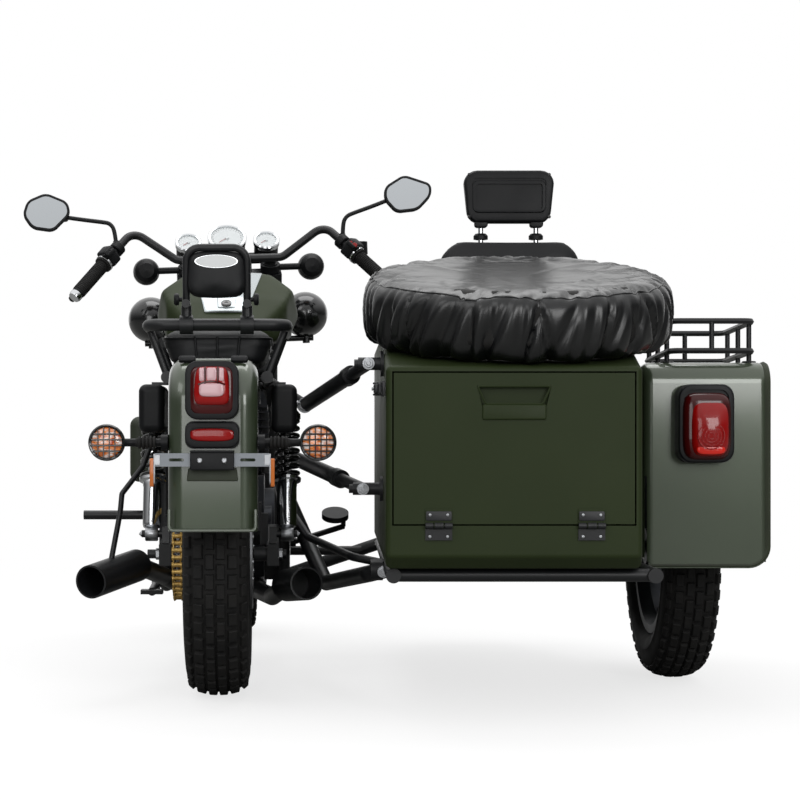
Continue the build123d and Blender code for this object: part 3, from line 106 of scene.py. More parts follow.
def steered(matrix):
    """A place on the steering, turned to where it is parked."""
    foot = at(*STEER_FOOT)
    turn = Matrix.Rotation(STEER_REST, 4, STEER_UP)
    return Matrix.Translation(foot) @ turn @ Matrix.Translation(-foot) @ matrix


# ------------------------------------------------------------------ modelling by hand
def fresh():
    """Object mode with nothing selected."""
    if bpy.context.mode != "OBJECT":
        bpy.ops.object.mode_set(mode="OBJECT")
    bpy.ops.object.select_all(action="DESELECT")


def only(piece):
    """Selects one object and makes it the active one."""
    fresh()
    piece.select_set(True)
    bpy.context.view_layer.objects.active = piece
    return piece


def made(name):
    """Names the object that was just made and puts its place into its mesh."""
    if bpy.context.mode != "OBJECT":
        bpy.ops.object.mode_set(mode="OBJECT")
    piece = bpy.context.view_layer.objects.active
    piece.name = name
    piece.data.name = name
    bpy.ops.object.transform_apply(location=True, rotation=True, scale=True)
    return piece


def choose(kind, test):
    """In edit mode, selects the VERT, EDGE or FACE elements that pass a test."""
    piece = bpy.context.view_layer.objects.active
    if bpy.context.mode != "EDIT_MESH":
        bpy.ops.object.mode_set(mode="EDIT")
    bpy.ops.mesh.select_mode(type=kind)
    bpy.ops.mesh.select_all(action="DESELECT")
    mesh = bmesh.from_edit_mesh(piece.data)
    for element in {"VERT": mesh.verts, "EDGE": mesh.edges, "FACE": mesh.faces}[kind]:
        if test(element):
            element.select_set(True)
    bmesh.update_edit_mesh(piece.data)


def soften(offset, segments, test):
    """In edit mode, rounds the edges that pass a test."""
    choose("EDGE", test)
    bpy.ops.mesh.bevel(offset=offset, segments=segments, affect="EDGES")


def modify(piece, kind, **settings):
    """Adds one modifier with its settings and applies it."""
    only(piece)
    modifier = piece.modifiers.new(kind.lower(), kind)
    for name, value in settings.items():
        setattr(modifier, name, value)
    bpy.ops.object.modifier_apply(modifier=modifier.name)
    return piece


def block(name, size, centre=(0, 0, 0), bevel=0.0, segments=2):
    """A box with its edges rounded."""
    fresh()
    bpy.ops.mesh.primitive_cube_add(size=1, location=centre, scale=size)
    piece = made(name)
    if bevel:
        bpy.ops.object.mode_set(mode="EDIT")
        bpy.ops.mesh.select_all(action="SELECT")
        bpy.ops.mesh.bevel(offset=bevel, segments=segments, affect="EDGES")
        fresh()
    return piece


def lathe(name, profile, segments=48, closed=False):
    """A round shape about Z: a circle extruded ring by ring along rows of (radius, height).

    A closed profile joins its last ring to its first; any other has its ends filled.
    """
    fresh()
    radius, height = profile[0]
    bpy.ops.mesh.primitive_circle_add(vertices=segments, radius=radius, fill_type="NOTHING")
    bpy.ops.object.mode_set(mode="EDIT")
    bpy.ops.mesh.select_mode(type="EDGE")
    bpy.ops.mesh.select_all(action="SELECT")
    bpy.ops.transform.translate(value=(0, 0, height))
    for next_radius, next_height in profile[1:]:
        bpy.ops.mesh.extrude_region_move(TRANSFORM_OT_translate={"value": (0, 0, next_height - height)})
        grow = next_radius / radius
        bpy.ops.transform.resize(value=(grow, grow, 1), center_override=(0, 0, 0))
        radius, height = next_radius, next_height
    choose("EDGE", lambda edge: edge.is_boundary)
    if closed:
        bpy.ops.mesh.bridge_edge_loops()
    else:
        bpy.ops.mesh.fill_holes(sides=0)
    bpy.ops.mesh.select_all(action="SELECT")
    bpy.ops.mesh.normals_make_consistent(inside=False)
    return made(name)


def facing(direction):
    """The turn that takes +Z to a direction."""
    return Vector(direction).to_track_quat("Z", "Y").to_matrix().to_4x4()


def put(piece, place, direction=(0, 0, 1), spin=0.0):
    """Moves a piece that is modelled about Z to its place, facing a direction."""
    turn = Matrix.Rotation(spin, 4, "Z")
    piece.data.transform(Matrix.Translation(place) @ facing(direction) @ turn)
    return piece


def joined(name, pieces):
    """Joins several objects into one."""
    fresh()
    for piece in pieces:
        piece.select_set(True)
    bpy.context.view_layer.objects.active = pieces[0]
    if len(pieces) > 1:
        bpy.ops.object.join()
    pieces[0].name = name
    pieces[0].data.name = name
    return pieces[0]


def copies(name, model, places):
    """Copies a finished piece to each place, with its own mesh, and joins the copies."""
    made_pieces = []
    for place in places:
        piece = model.copy()
        piece.data = model.data.copy()
        piece.data.transform(place)
        bpy.context.collection.objects.link(piece)
        made_pieces.append(piece)
    bpy.data.objects.remove(model)
    return joined(name, made_pieces)


def wire(name, points, radius, cyclic=True, roundness=1, order=None):
    """A round wire through its points, as a mesh; given an order, it is drawn smoothly towards them."""
    fresh()
    curve = bpy.data.curves.new(name, "CURVE")
    curve.dimensions = "3D"
    spline = curve.splines.new("NURBS" if order else "POLY")
    spline.points.add(len(points) - 1)
    for point, place in zip(spline.points, points):
        point.co = (*place, 1)
    spline.use_cyclic_u = cyclic
    if order:
        spline.order_u = order
        spline.use_endpoint_u = True
        spline.resolution_u = 10
    curve.bevel_depth = radius
    curve.bevel_resolution = roundness
    curve.use_fill_caps = not cyclic
    piece = bpy.data.objects.new(name, curve)
    bpy.context.collection.objects.link(piece)
    only(piece)
    bpy.ops.object.convert(target="MESH")
    return bpy.context.view_layer.objects.active


# Slots and the finishes listed under each
SLOTS = {finish_name: slot for slot, names in {
    "green": ("olive_enamel", "gloss_olive_enamel", "dark_olive_enamel"),
    "chrome": ("silver_lacquer", "chrome_plate", "silvered_glass"),
    "black_steel": ("black_powder_coat", "gloss_black_lacquer"),
    "black_plastic": ("moulded_black_abs", "printed_dial"),
    "tyre": ("vulcanised_rubber",),
    "steel": ("zinc_plated_steel",),
    "gold": ("yellow_zinc",),
    "seat_vinyl": ("grained_vinyl",),
    "cover_cloth": ("coated_polyester",),
    "clear": ("deep_red_lens", "red_lens", "pale_red_painted_highlight", "bright_red_painted_glow", "amber_lens",
              "clear_lens", "signal_lens_painted_reflector"),
    "alloy": ("white_print",),
}.items() for finish_name in names}


def finish(piece, finish_name, angle=40, body="chassis", slot=None, standing_for=()):
    """Gives a piece its finish, smooth faces and the body it rides on."""
    only(piece)
    piece.data.materials.clear()
    piece.data.materials.append(FINISHES[finish_name])
    bpy.ops.object.shade_smooth_by_angle(angle=math.radians(angle))
    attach(piece, body)
    slot or SLOTS[finish_name]
    if standing_for:
        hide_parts(*standing_for)
    return piece


# ------------------------------------------------------------------ finishes
FINISHES = {}
# A material under way: its node tree, its shader and the object's own coordinates
Coat = namedtuple("Coat", "material tree shading place")


def linear(hex_colour):
    """An sRGB hex colour as linear red, green and blue, and full alpha."""
    shares = [int(hex_colour[i:i + 2], 16) / 255 for i in (0, 2, 4)]
    return (*[share / 12.92 if share <= 0.04045 else ((share + 0.055) / 1.055) ** 2.4 for share in shares], 1)


def add(tree, kind, inputs=None, **settings):
    """Adds a shader node with its settings; an input is a value or another node's output."""
    node = tree.nodes.new("ShaderNode" + kind)
    for name, value in settings.items():
        setattr(node, name, value)
    for name, value in (inputs or {}).items():
        if isinstance(value, bpy.types.NodeSocket):
            tree.links.new(value, node.inputs[name])
        else:
            node.inputs[name].default_value = value
    return node


def begin(name, colour, **shader):
    """A new material, kept in FINISHES by its name."""
    material = bpy.data.materials.new(name)
    material.use_nodes = True
    tree = material.node_tree
    shading = tree.nodes["Principled BSDF"]
    shading.inputs["Base Color"].default_value = linear(colour)
    for socket, value in shader.items():
        shading.inputs[socket.replace("_", " ")].default_value = value
    FINISHES[name] = material
    return Coat(material, tree, shading, add(tree, "TexCoord").outputs["Object"])


def mottle(coat, low, high, scale, detail=4.0, contrast=(0.3, 0.7)):
    """Varies the base colour between two hex colours in soft patches."""
    noise = add(coat.tree, "TexNoise", {"Vector": coat.place, "Scale": scale, "Detail": detail})
    ramp = add(coat.tree, "ValToRGB", {"Fac": noise.outputs["Fac"]})
    for stop, colour, share in zip(ramp.color_ramp.elements, (low, high), contrast):
        stop.color = linear(colour)
        stop.position = share
    coat.tree.links.new(ramp.outputs["Color"], coat.shading.inputs["Base Color"])


def rough_between(coat, low, high, scale):
    """Varies the roughness in soft patches, as handling and dust leave it."""
    noise = add(coat.tree, "TexNoise", {"Vector": coat.place, "Scale": scale, "Detail": 3.0})
    spread = add(coat.tree, "MapRange", {"Value": noise.outputs["Fac"], "From Min": 0.15, "From Max": 0.85,
                                         "To Min": low, "To Max": high})
    coat.tree.links.new(spread.outputs["Result"], coat.shading.inputs["Roughness"])


def grain(coat, height, depth, strength):
    """Presses a pattern into the surface, to a depth in metres."""
    bump = add(coat.tree, "Bump", {"Height": height, "Distance": depth, "Strength": strength})
    coat.tree.links.new(bump.outputs["Normal"], coat.shading.inputs["Normal"])


def pebble(coat, scale, detail, depth, strength, **more):
    """Presses an even fine noise into the surface; its scale is in grains a metre."""
    noise = add(coat.tree, "TexNoise", {"Vector": coat.place, "Scale": scale, "Detail": detail, **more})
    grain(coat, noise.outputs["Fac"], depth, strength)


def olive_enamel():
    """Baked olive enamel, sprayed on pressed steel: satin, with a faint orange peel 3 mm across."""
    coat = begin("olive_enamel", "252e18", Specular_IOR_Level=0.14)
    mottle(coat, "222b15", "2a331b", 3.5, 3.0, (0.1, 0.9))
    rough_between(coat, 0.40, 0.56, 9.0)
    pebble(coat, 330.0, 1.0, 0.00006, 0.35)


def gloss_olive_enamel():
    """The fenders' olive enamel under a clear lacquer, so that they mirror the lamps softly."""
    coat = begin("gloss_olive_enamel", "3a4433", Metallic=0.30, Coat_Weight=1.0, Coat_Roughness=0.10)
    mottle(coat, "353f2e", "404a39", 3.5, 3.0, (0.1, 0.9))
    rough_between(coat, 0.26, 0.38, 9.0)
    pebble(coat, 330.0, 1.0, 0.00005, 0.3)


def silver_lacquer():
    """Silver lacquer on the tank's console: fine aluminium flake under a clear coat."""
    coat = begin("silver_lacquer", "a9b0b2", Metallic=0.55, Coat_Weight=0.6, Coat_Roughness=0.06)
    rough_between(coat, 0.22, 0.34, 20.0)
    pebble(coat, 900.0, 1.0, 0.00003, 0.3)


def dark_olive_enamel():
    """The same enamel in a darker, rougher tone, on low pieces."""
    coat = begin("dark_olive_enamel", "232a1a")
    mottle(coat, "1f2517", "2a321f", 8.0, 6.0)
    rough_between(coat, 0.5, 0.7, 12.0)


def powder_coat():
    """Black powder coat on steel tube: a fine pebble about 1 mm across and a low sheen."""
    coat = begin("black_powder_coat", "17181a", Specular_IOR_Level=0.4)
    rough_between(coat, 0.34, 0.48, 14.0)
    pebble(coat, 900.0, 2.0, 0.00008, 0.3)


def black_abs():
    """Moulded black ABS: an even fine spark-eroded texture, drawn 2 mm coarse so that it shows."""
    coat = begin("moulded_black_abs", "0f1012", Specular_IOR_Level=0.22)
    rough_between(coat, 0.38, 0.52, 18.0)
    spark = add(coat.tree, "TexVoronoi", {"Vector": coat.place, "Scale": 520.0})
    grain(coat, spark.outputs["Distance"], 0.00006, 0.3)


def gloss_black():
    """Gloss black lacquer on lamp shells, with sharp highlights."""
    coat = begin("gloss_black_lacquer", "0c0d0e", Coat_Weight=0.6, Coat_Roughness=0.05)
    rough_between(coat, 0.18, 0.28, 10.0)


def tyre_rubber():
    """Vulcanised rubber: dark grey, dusty on the tread, with a dry matt surface."""
    coat = begin("vulcanised_rubber", "161616", Specular_IOR_Level=0.3)
    mottle(coat, "111111", "1e1d1c", 22.0, 8.0)
    rough_between(coat, 0.62, 0.85, 30.0)
    pebble(coat, 700.0, 3.0, 0.0001, 0.35)


def cast_alloy():
    """Sand-cast aluminium, painted dark grey: a coarse 2 mm grain under a satin coat."""
    coat = begin("painted_cast_aluminium", "3c3e41", Metallic=0.85)
    mottle(coat, "34363a", "4a4c50", 16.0)
    rough_between(coat, 0.36, 0.5, 22.0)
    pebble(coat, 480.0, 4.0, 0.00012, 0.4)


def zinc_steel():
    """Bright zinc on turned steel: grey, with fine turning marks 1 mm apart."""
    coat = begin("zinc_plated_steel", "a9abae", Metallic=1.0)
    rough_between(coat, 0.26, 0.42, 40.0)
    pebble(coat, 1000.0, 2.0, 0.00003, 0.3)


def chrome():
    """Polished chrome plate: almost a mirror, with a few soft water marks."""
    coat = begin("chrome_plate", "d8dadc", Metallic=1.0)
    rough_between(coat, 0.06, 0.14, 25.0)


def gold_zinc():
    """Yellow passivated zinc on the chain, darker where oil has taken dust."""
    coat = begin("yellow_zinc", "c9a35a", Metallic=0.55)
    mottle(coat, "9c7a38", "d9b56a", 60.0, 5.0)
    rough_between(coat, 0.3, 0.5, 80.0)


def seat_vinyl():
    """Expanded vinyl upholstery: a leather grain of cells about 2 mm across, with a soft sheen."""
    coat = begin("grained_vinyl", "141517", Specular_IOR_Level=0.3)
    rough_between(coat, 0.42, 0.58, 16.0)
    cells = add(coat.tree, "TexVoronoi", {"Vector": coat.place, "Scale": 480.0}, feature="DISTANCE_TO_EDGE")
    grain(coat, cells.outputs["Distance"], 0.00025, 0.45)


def cover_cloth():
    """Coated polyester cover: a tight weave under black polyurethane, creased and a little shiny."""
    coat = begin("coated_polyester", "06070a", Specular_IOR_Level=0.1, Coat_Weight=0.85, Coat_Roughness=0.30)
    mottle(coat, "040506", "090a0c", 12.0, 4.0)
    rough_between(coat, 0.30, 0.45, 20.0)
    pebble(coat, 38.0, 7.0, 0.0022, 0.55, Distortion=1.2)


def clear_acrylic():
    """Clear cast acrylic, 4 mm thick."""
    coat = begin("cast_acrylic", "f2f6f6", Transmission_Weight=1.0, IOR=1.49)
    rough_between(coat, 0.02, 0.05, 20.0)


def lens(name, colour, ribs):
    """Moulded PMMA lens: dyed through, polished, with faint prisms pressed in every few millimetres."""
    coat = begin(name, colour, Specular_IOR_Level=0.2, Coat_Weight=0.45, Coat_Roughness=0.03)
    rough_between(coat, 0.16, 0.26, 30.0)
    prisms = add(coat.tree, "TexVoronoi", {"Vector": coat.place, "Scale": ribs}, distance="CHEBYCHEV",
                 feature="F1")
    prisms.inputs["Randomness"].default_value = 0.0
    grain(coat, prisms.outputs["Distance"], 0.0005, 0.35)


def signal_lens_painted_reflector():
    """Clear ribbed lens, drawn opaque: amber and red bands for the bulb and the lens's tint, and pale bands
    that are a painted reflection of a silvered reflector behind it, about 6 mm apart."""
    coat = begin("signal_lens_painted_reflector", "e0b090", Coat_Weight=1.0, Coat_Roughness=0.03)
    spread = add(coat.tree, "Mapping", {"Vector": coat.place, "Scale": (60.0, 60.0, 170.0)})
    noise = add(coat.tree, "TexNoise", {"Vector": spread.outputs["Vector"], "Scale": 1.0, "Detail": 2.0})
    ramp = add(coat.tree, "ValToRGB", {"Fac": noise.outputs["Fac"]})
    # Red and amber stops are the lens and bulb's colour; the pinkish and pale stops are a painted reflection
    # of the silvered reflector.
    ramp.color_ramp.elements[0].color = linear("a8401c")
    ramp.color_ramp.elements[0].position = 0.36
    ramp.color_ramp.elements[1].color = linear("eee6e2")
    ramp.color_ramp.elements[1].position = 0.66
    for share, colour in ((0.46, "e8862e"), (0.54, "cf9a86")):
        stop = ramp.color_ramp.elements.new(share)
        stop.color = linear(colour)
    coat.tree.links.new(ramp.outputs["Color"], coat.shading.inputs["Base Color"])
    rough_between(coat, 0.12, 0.22, 30.0)


def grey_coat():
    """Satin grey powder coat on the plate strip: a pebble about 1 mm across."""
    coat = begin("grey_powder_coat", "7f848a")
    rough_between(coat, 0.32, 0.46, 14.0)
    pebble(coat, 900.0, 2.0, 0.00008, 0.3)


def mirror_glass():
    """Silvered glass: a clean, slightly cool mirror."""
    coat = begin("silvered_glass", "dfe4e8", Metallic=1.0)
    rough_between(coat, 0.03, 0.08, 12.0)


def printed_dial():
    """Printed instrument face: pale grey card."""
    coat = begin("printed_dial", "c4c8c9")
    rough_between(coat, 0.5, 0.6, 60.0)


def white_print():
    """White enamel, as on the badge."""
    coat = begin("white_print", "d9dbdc")
    rough_between(coat, 0.45, 0.55, 60.0)


# Name of each dyed lens, its colour and its prisms a metre. The pale red is a painted highlight and the
# bright red a painted glow.
LENSES = (
    ("red_lens", "8e0807", 160.0), ("deep_red_lens", "3d0405", 160.0), ("pale_red_painted_highlight", "c9a4a9", 120.0),
    ("bright_red_painted_glow", "d2261a", 130.0), ("amber_lens", "b9662c", 130.0), ("clear_lens", "dfe3e4", 110.0),
)
# The finish that each CAD node shows
NODE_FINISHES = {
    "olive_enamel": ("fuel_tank", "sidecar_body", "tailgate"),
    "gloss_olive_enamel": ("rear_fender", "front_fender", "sidecar_fender"),
    "black_powder_coat": (
        "swingarm", "bike_frame", "exhausts", "grab_rail", "backrest_frame", "sidecar_frame",
        "sidecar_axle_arm", "tailgate_hinges", "fender_rack", "sidecar_struts", "handlebar", "side_stand",
        "foot_controls", "front_fork",
    ),
    "moulded_black_abs": (
        "side_covers", "hand_controls", "mirrors", "gauges", "tail_lamps", "sidecar_lamp", "rear_signals",
        "front_signals",
    ),
    "gloss_black_lacquer": ("headlamp", "spot_lamps"),
    "grey_powder_coat": ("plate_bracket",),
    "dark_olive_enamel": ("filter_cover",),
    "vulcanised_rubber": ("front_tyre", "rear_tyre", "sidecar_tyre", "spare_wheel"),
    "painted_cast_aluminium": ("front_wheel", "rear_wheel", "sidecar_wheel", "engine", "engine_cylinders"),
    "zinc_plated_steel": ("front_brake_disc", "rear_brake_disc", "rear_sprocket", "shock_absorbers"),
    "yellow_zinc": ("chain",),
    "grained_vinyl": ("bike_seats", "backrest_pad", "sidecar_seat", "sidecar_backrest", "headrest"),
    "coated_polyester": ("spare_cover",),
    "cast_acrylic": ("windscreen",),
}


def make_finishes():
    """Makes every finish once and puts one on each CAD node."""
    for make in (olive_enamel, gloss_olive_enamel, silver_lacquer, dark_olive_enamel, powder_coat, black_abs,
                 gloss_black, tyre_rubber, cast_alloy, zinc_steel, chrome, gold_zinc, seat_vinyl, cover_cloth,
                 clear_acrylic, grey_coat, signal_lens_painted_reflector, mirror_glass, printed_dial, white_print):
        make()
    for name, colour, ribs in LENSES:
        lens(name, colour, ribs)
    for name, nodes in NODE_FINISHES.items():
        for node in nodes:
            NODES[node].data.materials.clear()
            NODES[node].data.materials.append(FINISHES[name])


class MOTORCYCLE_OT_finishes(bpy.types.Operator):
    """Make every finish and put one on each CAD node"""
    bl_idname = "motorcycle.finishes"
    bl_label = "Finishes"

    def execute(self, context):
        make_finishes()
        return {"FINISHED"}


# ------------------------------------------------------------------ tyres
class TyreSettings(bpy.types.PropertyGroup):
    """The tread of the three tyres."""
    tread_depth: FloatProperty(name="Tread depth", description="Height of the tread blocks", default=0.0062,
                               min=0.002, max=0.015, unit="LENGTH")
    block_rows: IntProperty(name="Block rows", description="Rows of tread blocks round the tyre", default=46,
                            min=20, max=80)


# Name of each tyre, its width in metres and the body it turns with
TYRES = (("rear_tyre", 0.14, "rear_wheel"), ("front_tyre", 0.11, "front_wheel"),
         ("sidecar_tyre", 0.13, "sidecar_wheel"))
# One row of tread: offset as a share of half the width, tilt in degrees, foot radius in metres,
# block length round the tyre as a share of its pitch, block width as a share of half the width, stagger
TREAD_ROW = (
    (-0.16, -3, 0.3008, 0.80, 0.27, 0.0), (0.16, 3, 0.3008, 0.80, 0.27, 0.5),
    (-0.50, -15, 0.2965, 0.74, 0.30, 0.5), (0.50, 15, 0.2965, 0.74, 0.30, 0.0),
    (-0.80, -42, 0.2855, 0.66, 0.22, 0.0), (0.80, 42, 0.2855, 0.66, 0.22, 0.5),
)


def tread_block(length, width, depth):
    """One tread block on its foot: tapered a little, with its top edges rounded."""
    piece = block("tread_block", (width, length, depth * 1.6), (0, 0, depth * 0.2))
    choose("FACE", lambda face: face.normal.z > 0.9)
    bpy.ops.transform.resize(value=(0.86, 0.9, 1), center_override=(0, 0, 0))
    bpy.ops.mesh.bevel(offset=0.0012, segments=1, affect="EDGES")
    fresh()
    return piece


def tyre(node, width, body, settings):
    """A tyre about its own axle: the carcass in one lathe, with its tread blocks on it."""
    half = width / 2
    bead = half * 0.68
    crown = TYRE_R - settings.tread_depth
    side = [
        (0.1902, bead), (0.2065, bead + 0.001), (0.21, bead + 0.004), (0.222, half * 0.93),
        (0.238, half * 0.99), (0.2395, half), (0.243, half), (0.2445, half * 0.985), (0.262, half * 0.975),
        (0.277, half * 0.92), (0.2865, half * 0.80), (0.2945, half * 0.58), (crown - 0.0006, half * 0.28),
    ]
    profile = [(r, -x) for r, x in side] + [(r, x) for r, x in reversed(side)]
    carcass = lathe("tyre_carcass", profile, 96, closed=True)
    pitch = 2 * math.pi / settings.block_rows
    parts = [carcass]
    for share, tilt, foot, length, across, stagger in TREAD_ROW:
        model = tread_block(pitch * foot * length, half * across, settings.tread_depth)
        places = []
        for index in range(settings.block_rows):
            spin = Matrix.Rotation(pitch * (index + stagger), 4, "Z")
            upright = Matrix.Translation((foot, 0, half * share)) @ Matrix.Rotation(math.radians(90), 4, "Y")
            places.append(spin @ upright @ Matrix.Rotation(math.radians(-tilt), 4, "Y"))
        parts.append(copies("tread_row", model, places))
    piece = joined(node + "_rubber", parts)
    axle = Matrix.Translation(middle(node)) @ facing((1, 0, 0))
    if node == "front_tyre":
        turn = Matrix.Rotation(STEER_REST, 4, STEER_UP)
        axle = Matrix.Translation(middle(node)) @ turn @ facing((1, 0, 0))
    piece.data.transform(axle)
    return finish(piece, "vulcanised_rubber", 32, body=body, standing_for=(node,))


class MOTORCYCLE_OT_tyres(bpy.types.Operator):
    """Model the three tyres with their tread"""
    bl_idname = "motorcycle.tyres"
    bl_label = "Tyres"

    def execute(self, context):
        for node, width, body in TYRES:
            tyre(node, width, body, context.scene.motorcycle_tyres)
        return {"FINISHED"}


# ------------------------------------------------------------------ chain and shock absorbers
CHAIN_X = -88
CHAIN_PITCH = 15.875
REAR_RING = (0, AXLE_Z, 95)  # Centre and radius of the pitch line on the rear sprocket, in mm
DRIVE_RING = (480, 335, 38)


def chain_path():
    """Points and headings along the chain's pitch line, one pitch apart, in the plane of the chain."""
    (y1, z1, r1), (y2, z2, r2) = REAR_RING, DRIVE_RING
    span = math.hypot(y2 - y1, z2 - z1)
    slope = math.atan2(z2 - z1, y2 - y1)
    lean = math.asin((r1 - r2) / span)
    straight = span * math.cos(lean)
    rear_arc = (math.pi + 2 * lean) * r1
    drive_arc = (math.pi - 2 * lean) * r2
    total = 2 * straight + rear_arc + drive_arc
    count = round(total / CHAIN_PITCH / 2) * 2
    top = slope + math.pi / 2 - lean
    for index in range(count):
        s = total * index / count
        if s < straight:
            y = y1 + r1 * math.cos(top) + s * math.cos(slope - lean)
            z = z1 + r1 * math.sin(top) + s * math.sin(slope - lean)
            heading = slope - lean
        elif s < straight + drive_arc:
            angle = top - (s - straight) / r2
            y, z, heading = y2 + r2 * math.cos(angle), z2 + r2 * math.sin(angle), angle - math.pi / 2
        elif s < 2 * straight + drive_arc:
            back = s - straight - drive_arc
            low = slope - math.pi / 2 + lean
            y = y2 + r2 * math.cos(low) - back * math.cos(slope + lean)
            z = z2 + r2 * math.sin(low) - back * math.sin(slope + lean)
            heading = slope + lean + math.pi
        else:
            angle = slope - math.pi / 2 + lean - (s - 2 * straight - drive_arc) / r1
            y, z, heading = y1 + r1 * math.cos(angle), z1 + r1 * math.sin(angle), angle - math.pi / 2
        yield index, y, z, heading


def link_plate(offset, waist):
    """One figure-of-eight plate a pitch long, lying along Y with its holes' pins along X."""
    half = CHAIN_PITCH / 2000
    pieces = []
    for y in (-half, half):
        fresh()
        bpy.ops.mesh.primitive_cylinder_add(vertices=16, radius=0.0068, depth=0.0022, location=(offset, y, 0),
                                            rotation=(0, math.radians(90), 0))
        pieces.append(made("link_end"))
    return pieces + [block("link_waist", (0.0022, 2 * half, waist), (offset, 0, 0))]


def chain_link(outer):
    """A pair of plates and the roller between them."""
    reach = 0.0098 if outer else 0.0074
    parts = link_plate(-reach, 0.0088) + link_plate(reach, 0.0088)
    fresh()
    bpy.ops.mesh.primitive_cylinder_add(vertices=16, radius=0.005, depth=0.015,
                                        location=(0, -CHAIN_PITCH / 2000, 0),
                                        rotation=(0, math.radians(90), 0))
    parts.append(made("roller"))
    return joined("chain_link", parts)


def chain():
    """The drive chain, link by link round both sprockets."""
    rows = {True: [], False: []}
    for index, y, z, heading in chain_path():
        place = Matrix.Translation(at(CHAIN_X, y, z)) @ Matrix.Rotation(heading, 4, "X")
        rows[index % 2 == 0].append(place @ Matrix.Translation((0, CHAIN_PITCH / 2000, 0)))
    pieces = [copies("links", chain_link(outer), places) for outer, places in rows.items()]
    piece = joined("drive_chain", pieces)
    return finish(piece, "yellow_zinc", 35, standing_for=("chain",))


# The eyes of the right damper, in mm
SHOCK_FOOT = (150, 30, 350)
SHOCK_HEAD = (150, 130, 640)


def shock(side):
    """One coil-over damper: chromed body, black spring with open coils, rubber-bushed eyes."""
    foot, head = beside(side, SHOCK_FOOT), beside(side, SHOCK_HEAD)
    length = (head - foot).length
    place = Matrix.Translation(foot) @ facing(head - foot)
    body = lathe("damper_body", [
        (0.011, 0.012), (0.019, 0.016), (0.0205, 0.022), (0.0205, 0.108), (0.0215, 0.112), (0.0215, 0.12),
        (0.03, 0.122), (0.0305, 0.128), (0.02, 0.131), (0.0095, 0.133), (0.0095, length - 0.03),
        (0.018, length - 0.028), (0.018, length - 0.012)], 32)
    body.data.transform(place)
    finish(body, "chrome_plate", 35)
    fresh()
    bpy.ops.mesh.primitive_circle_add(
        vertices=12, radius=0.0042, location=(0.0245, 0, 0), rotation=(math.radians(90), 0, 0))
    coil = made("spring_wire")
    rise = length - 0.034 - 0.132
    modify(coil, "SCREW", axis="Z", screw_offset=rise / 8, iterations=8, steps=28, render_steps=28,
           use_merge_vertices=True)
    bpy.ops.object.mode_set(mode="EDIT")
    bpy.ops.mesh.select_all(action="SELECT")
    bpy.ops.mesh.fill_holes(sides=0)
    bpy.ops.mesh.normals_make_consistent(inside=False)
    fresh()
    coil.data.transform(Matrix.Translation((0, 0, 0.132)))
    cap = lathe("spring_seat", [(0.01, length - 0.038), (0.03, length - 0.036), (0.03, length - 0.028),
                                (0.024, length - 0.02), (0.012, length - 0.018)], 32)
    spring = joined("spring_" + ("right" if side > 0 else "left"), [coil, cap])
    spring.data.transform(place)
    finish(spring, "gloss_black_lacquer", 35)
    eyes = []
    for point in (foot, head):
        eye = lathe("eye", [(0.0082, -0.014), (0.015, -0.014), (0.0162, -0.012), (0.0162, 0.012),
                            (0.015, 0.014), (0.0082, 0.014)], 28, closed=True)
        put(eye, point, (1, 0, 0))
        nut = hex_nut(0.0105, 0.009, 0.006)
        put(nut, point + Vector((side * 0.0145, 0, 0)), (side, 0, 0))
        eyes += [eye, nut]
    return joined("shock_eyes", eyes)


def shock_absorbers():
    """Both dampers, in place of the CAD's plain ones."""
    eyes = joined("shock_eyes", [shock(side) for side in (-1, 1)])
    return finish(eyes, "zinc_plated_steel", 35, standing_for=("shock_absorbers",))


# ------------------------------------------------------------------ bolts and nuts
def hex_nut(across, height, thread):
    """A washer, a chamfered hexagon and the round end of the bolt in it, standing on Z = 0."""
    washer = lathe("washer", [(thread * 0.8, 0), (across * 0.72, 0), (across * 0.74, 0.0008),
                              (across * 0.72, 0.0016), (thread * 0.8, 0.0016)], 20)
    fresh()
    bpy.ops.mesh.primitive_cylinder_add(
        vertices=6, radius=across / 2 * 1.155, depth=height, location=(0, 0, 0.0014 + height / 2))
    nut = made("hexagon")
    soften(height * 0.12, 1, lambda edge: all(v.co.z > height * 0.9 for v in edge.verts))
    end = lathe("bolt_end", [(thread * 0.5, 0.001), (thread * 0.5, height + 0.003),
                             (thread * 0.38, height + 0.004)], 16)
    return joined("hex_nut", [washer, nut, end])


def round_screw(radius, height):
    """A domed screw head with a hexagon socket, standing on Z = 0."""
    return lathe("screw", [(radius * 0.95, 0), (radius, height * 0.25), (radius * 0.92, height * 0.7),
                           (radius * 0.66, height), (radius * 0.46, height), (radius * 0.40, height * 0.45)],
                 18)


def hardware(name, model, places, body, finish_name="zinc_plated_steel", slot="steel"):
    """Copies a nut or screw to (place, direction) pairs and fixes the row to a body."""
    matrices = [Matrix.Translation(place) @ facing(way) for place, way in places]
    return finish(copies(name, model, matrices), finish_name, 35, body=body, slot=slot)


class MOTORCYCLE_OT_running_gear(bpy.types.Operator):
    """Model the drive chain and the rear dampers"""
    bl_idname = "motorcycle.running_gear"
    bl_label = "Running gear"

    def execute(self, context):
        chain()
        shock_absorbers()
        return {"FINISHED"}


# ------------------------------------------------------------------ lamps and signals at the rear
# Turns for flat pieces that are modelled looking up, with their height along Y
REARWARD = Matrix.Rotation(math.radians(90), 4, "X")
FORWARD = Matrix.Rotation(math.radians(180), 4, "Z") @ REARWARD
RIGHTWARD = Matrix.Rotation(math.radians(90), 4, "Z") @ REARWARD
LEFTWARD = Matrix.Rotation(math.radians(-90), 4, "Z") @ REARWARD


class LampSettings(bpy.types.PropertyGroup):
    """Sizes that the lamps share."""
    bezel_depth: FloatProperty(name="Bezel depth", description="How far a bezel stands proud", default=0.006,
                               min=0.002, max=0.012, unit="LENGTH")
    grid_bars: IntProperty(name="Grid bars", description="Bars each way over a signal's lens", default=4,
                           min=2, max=7)


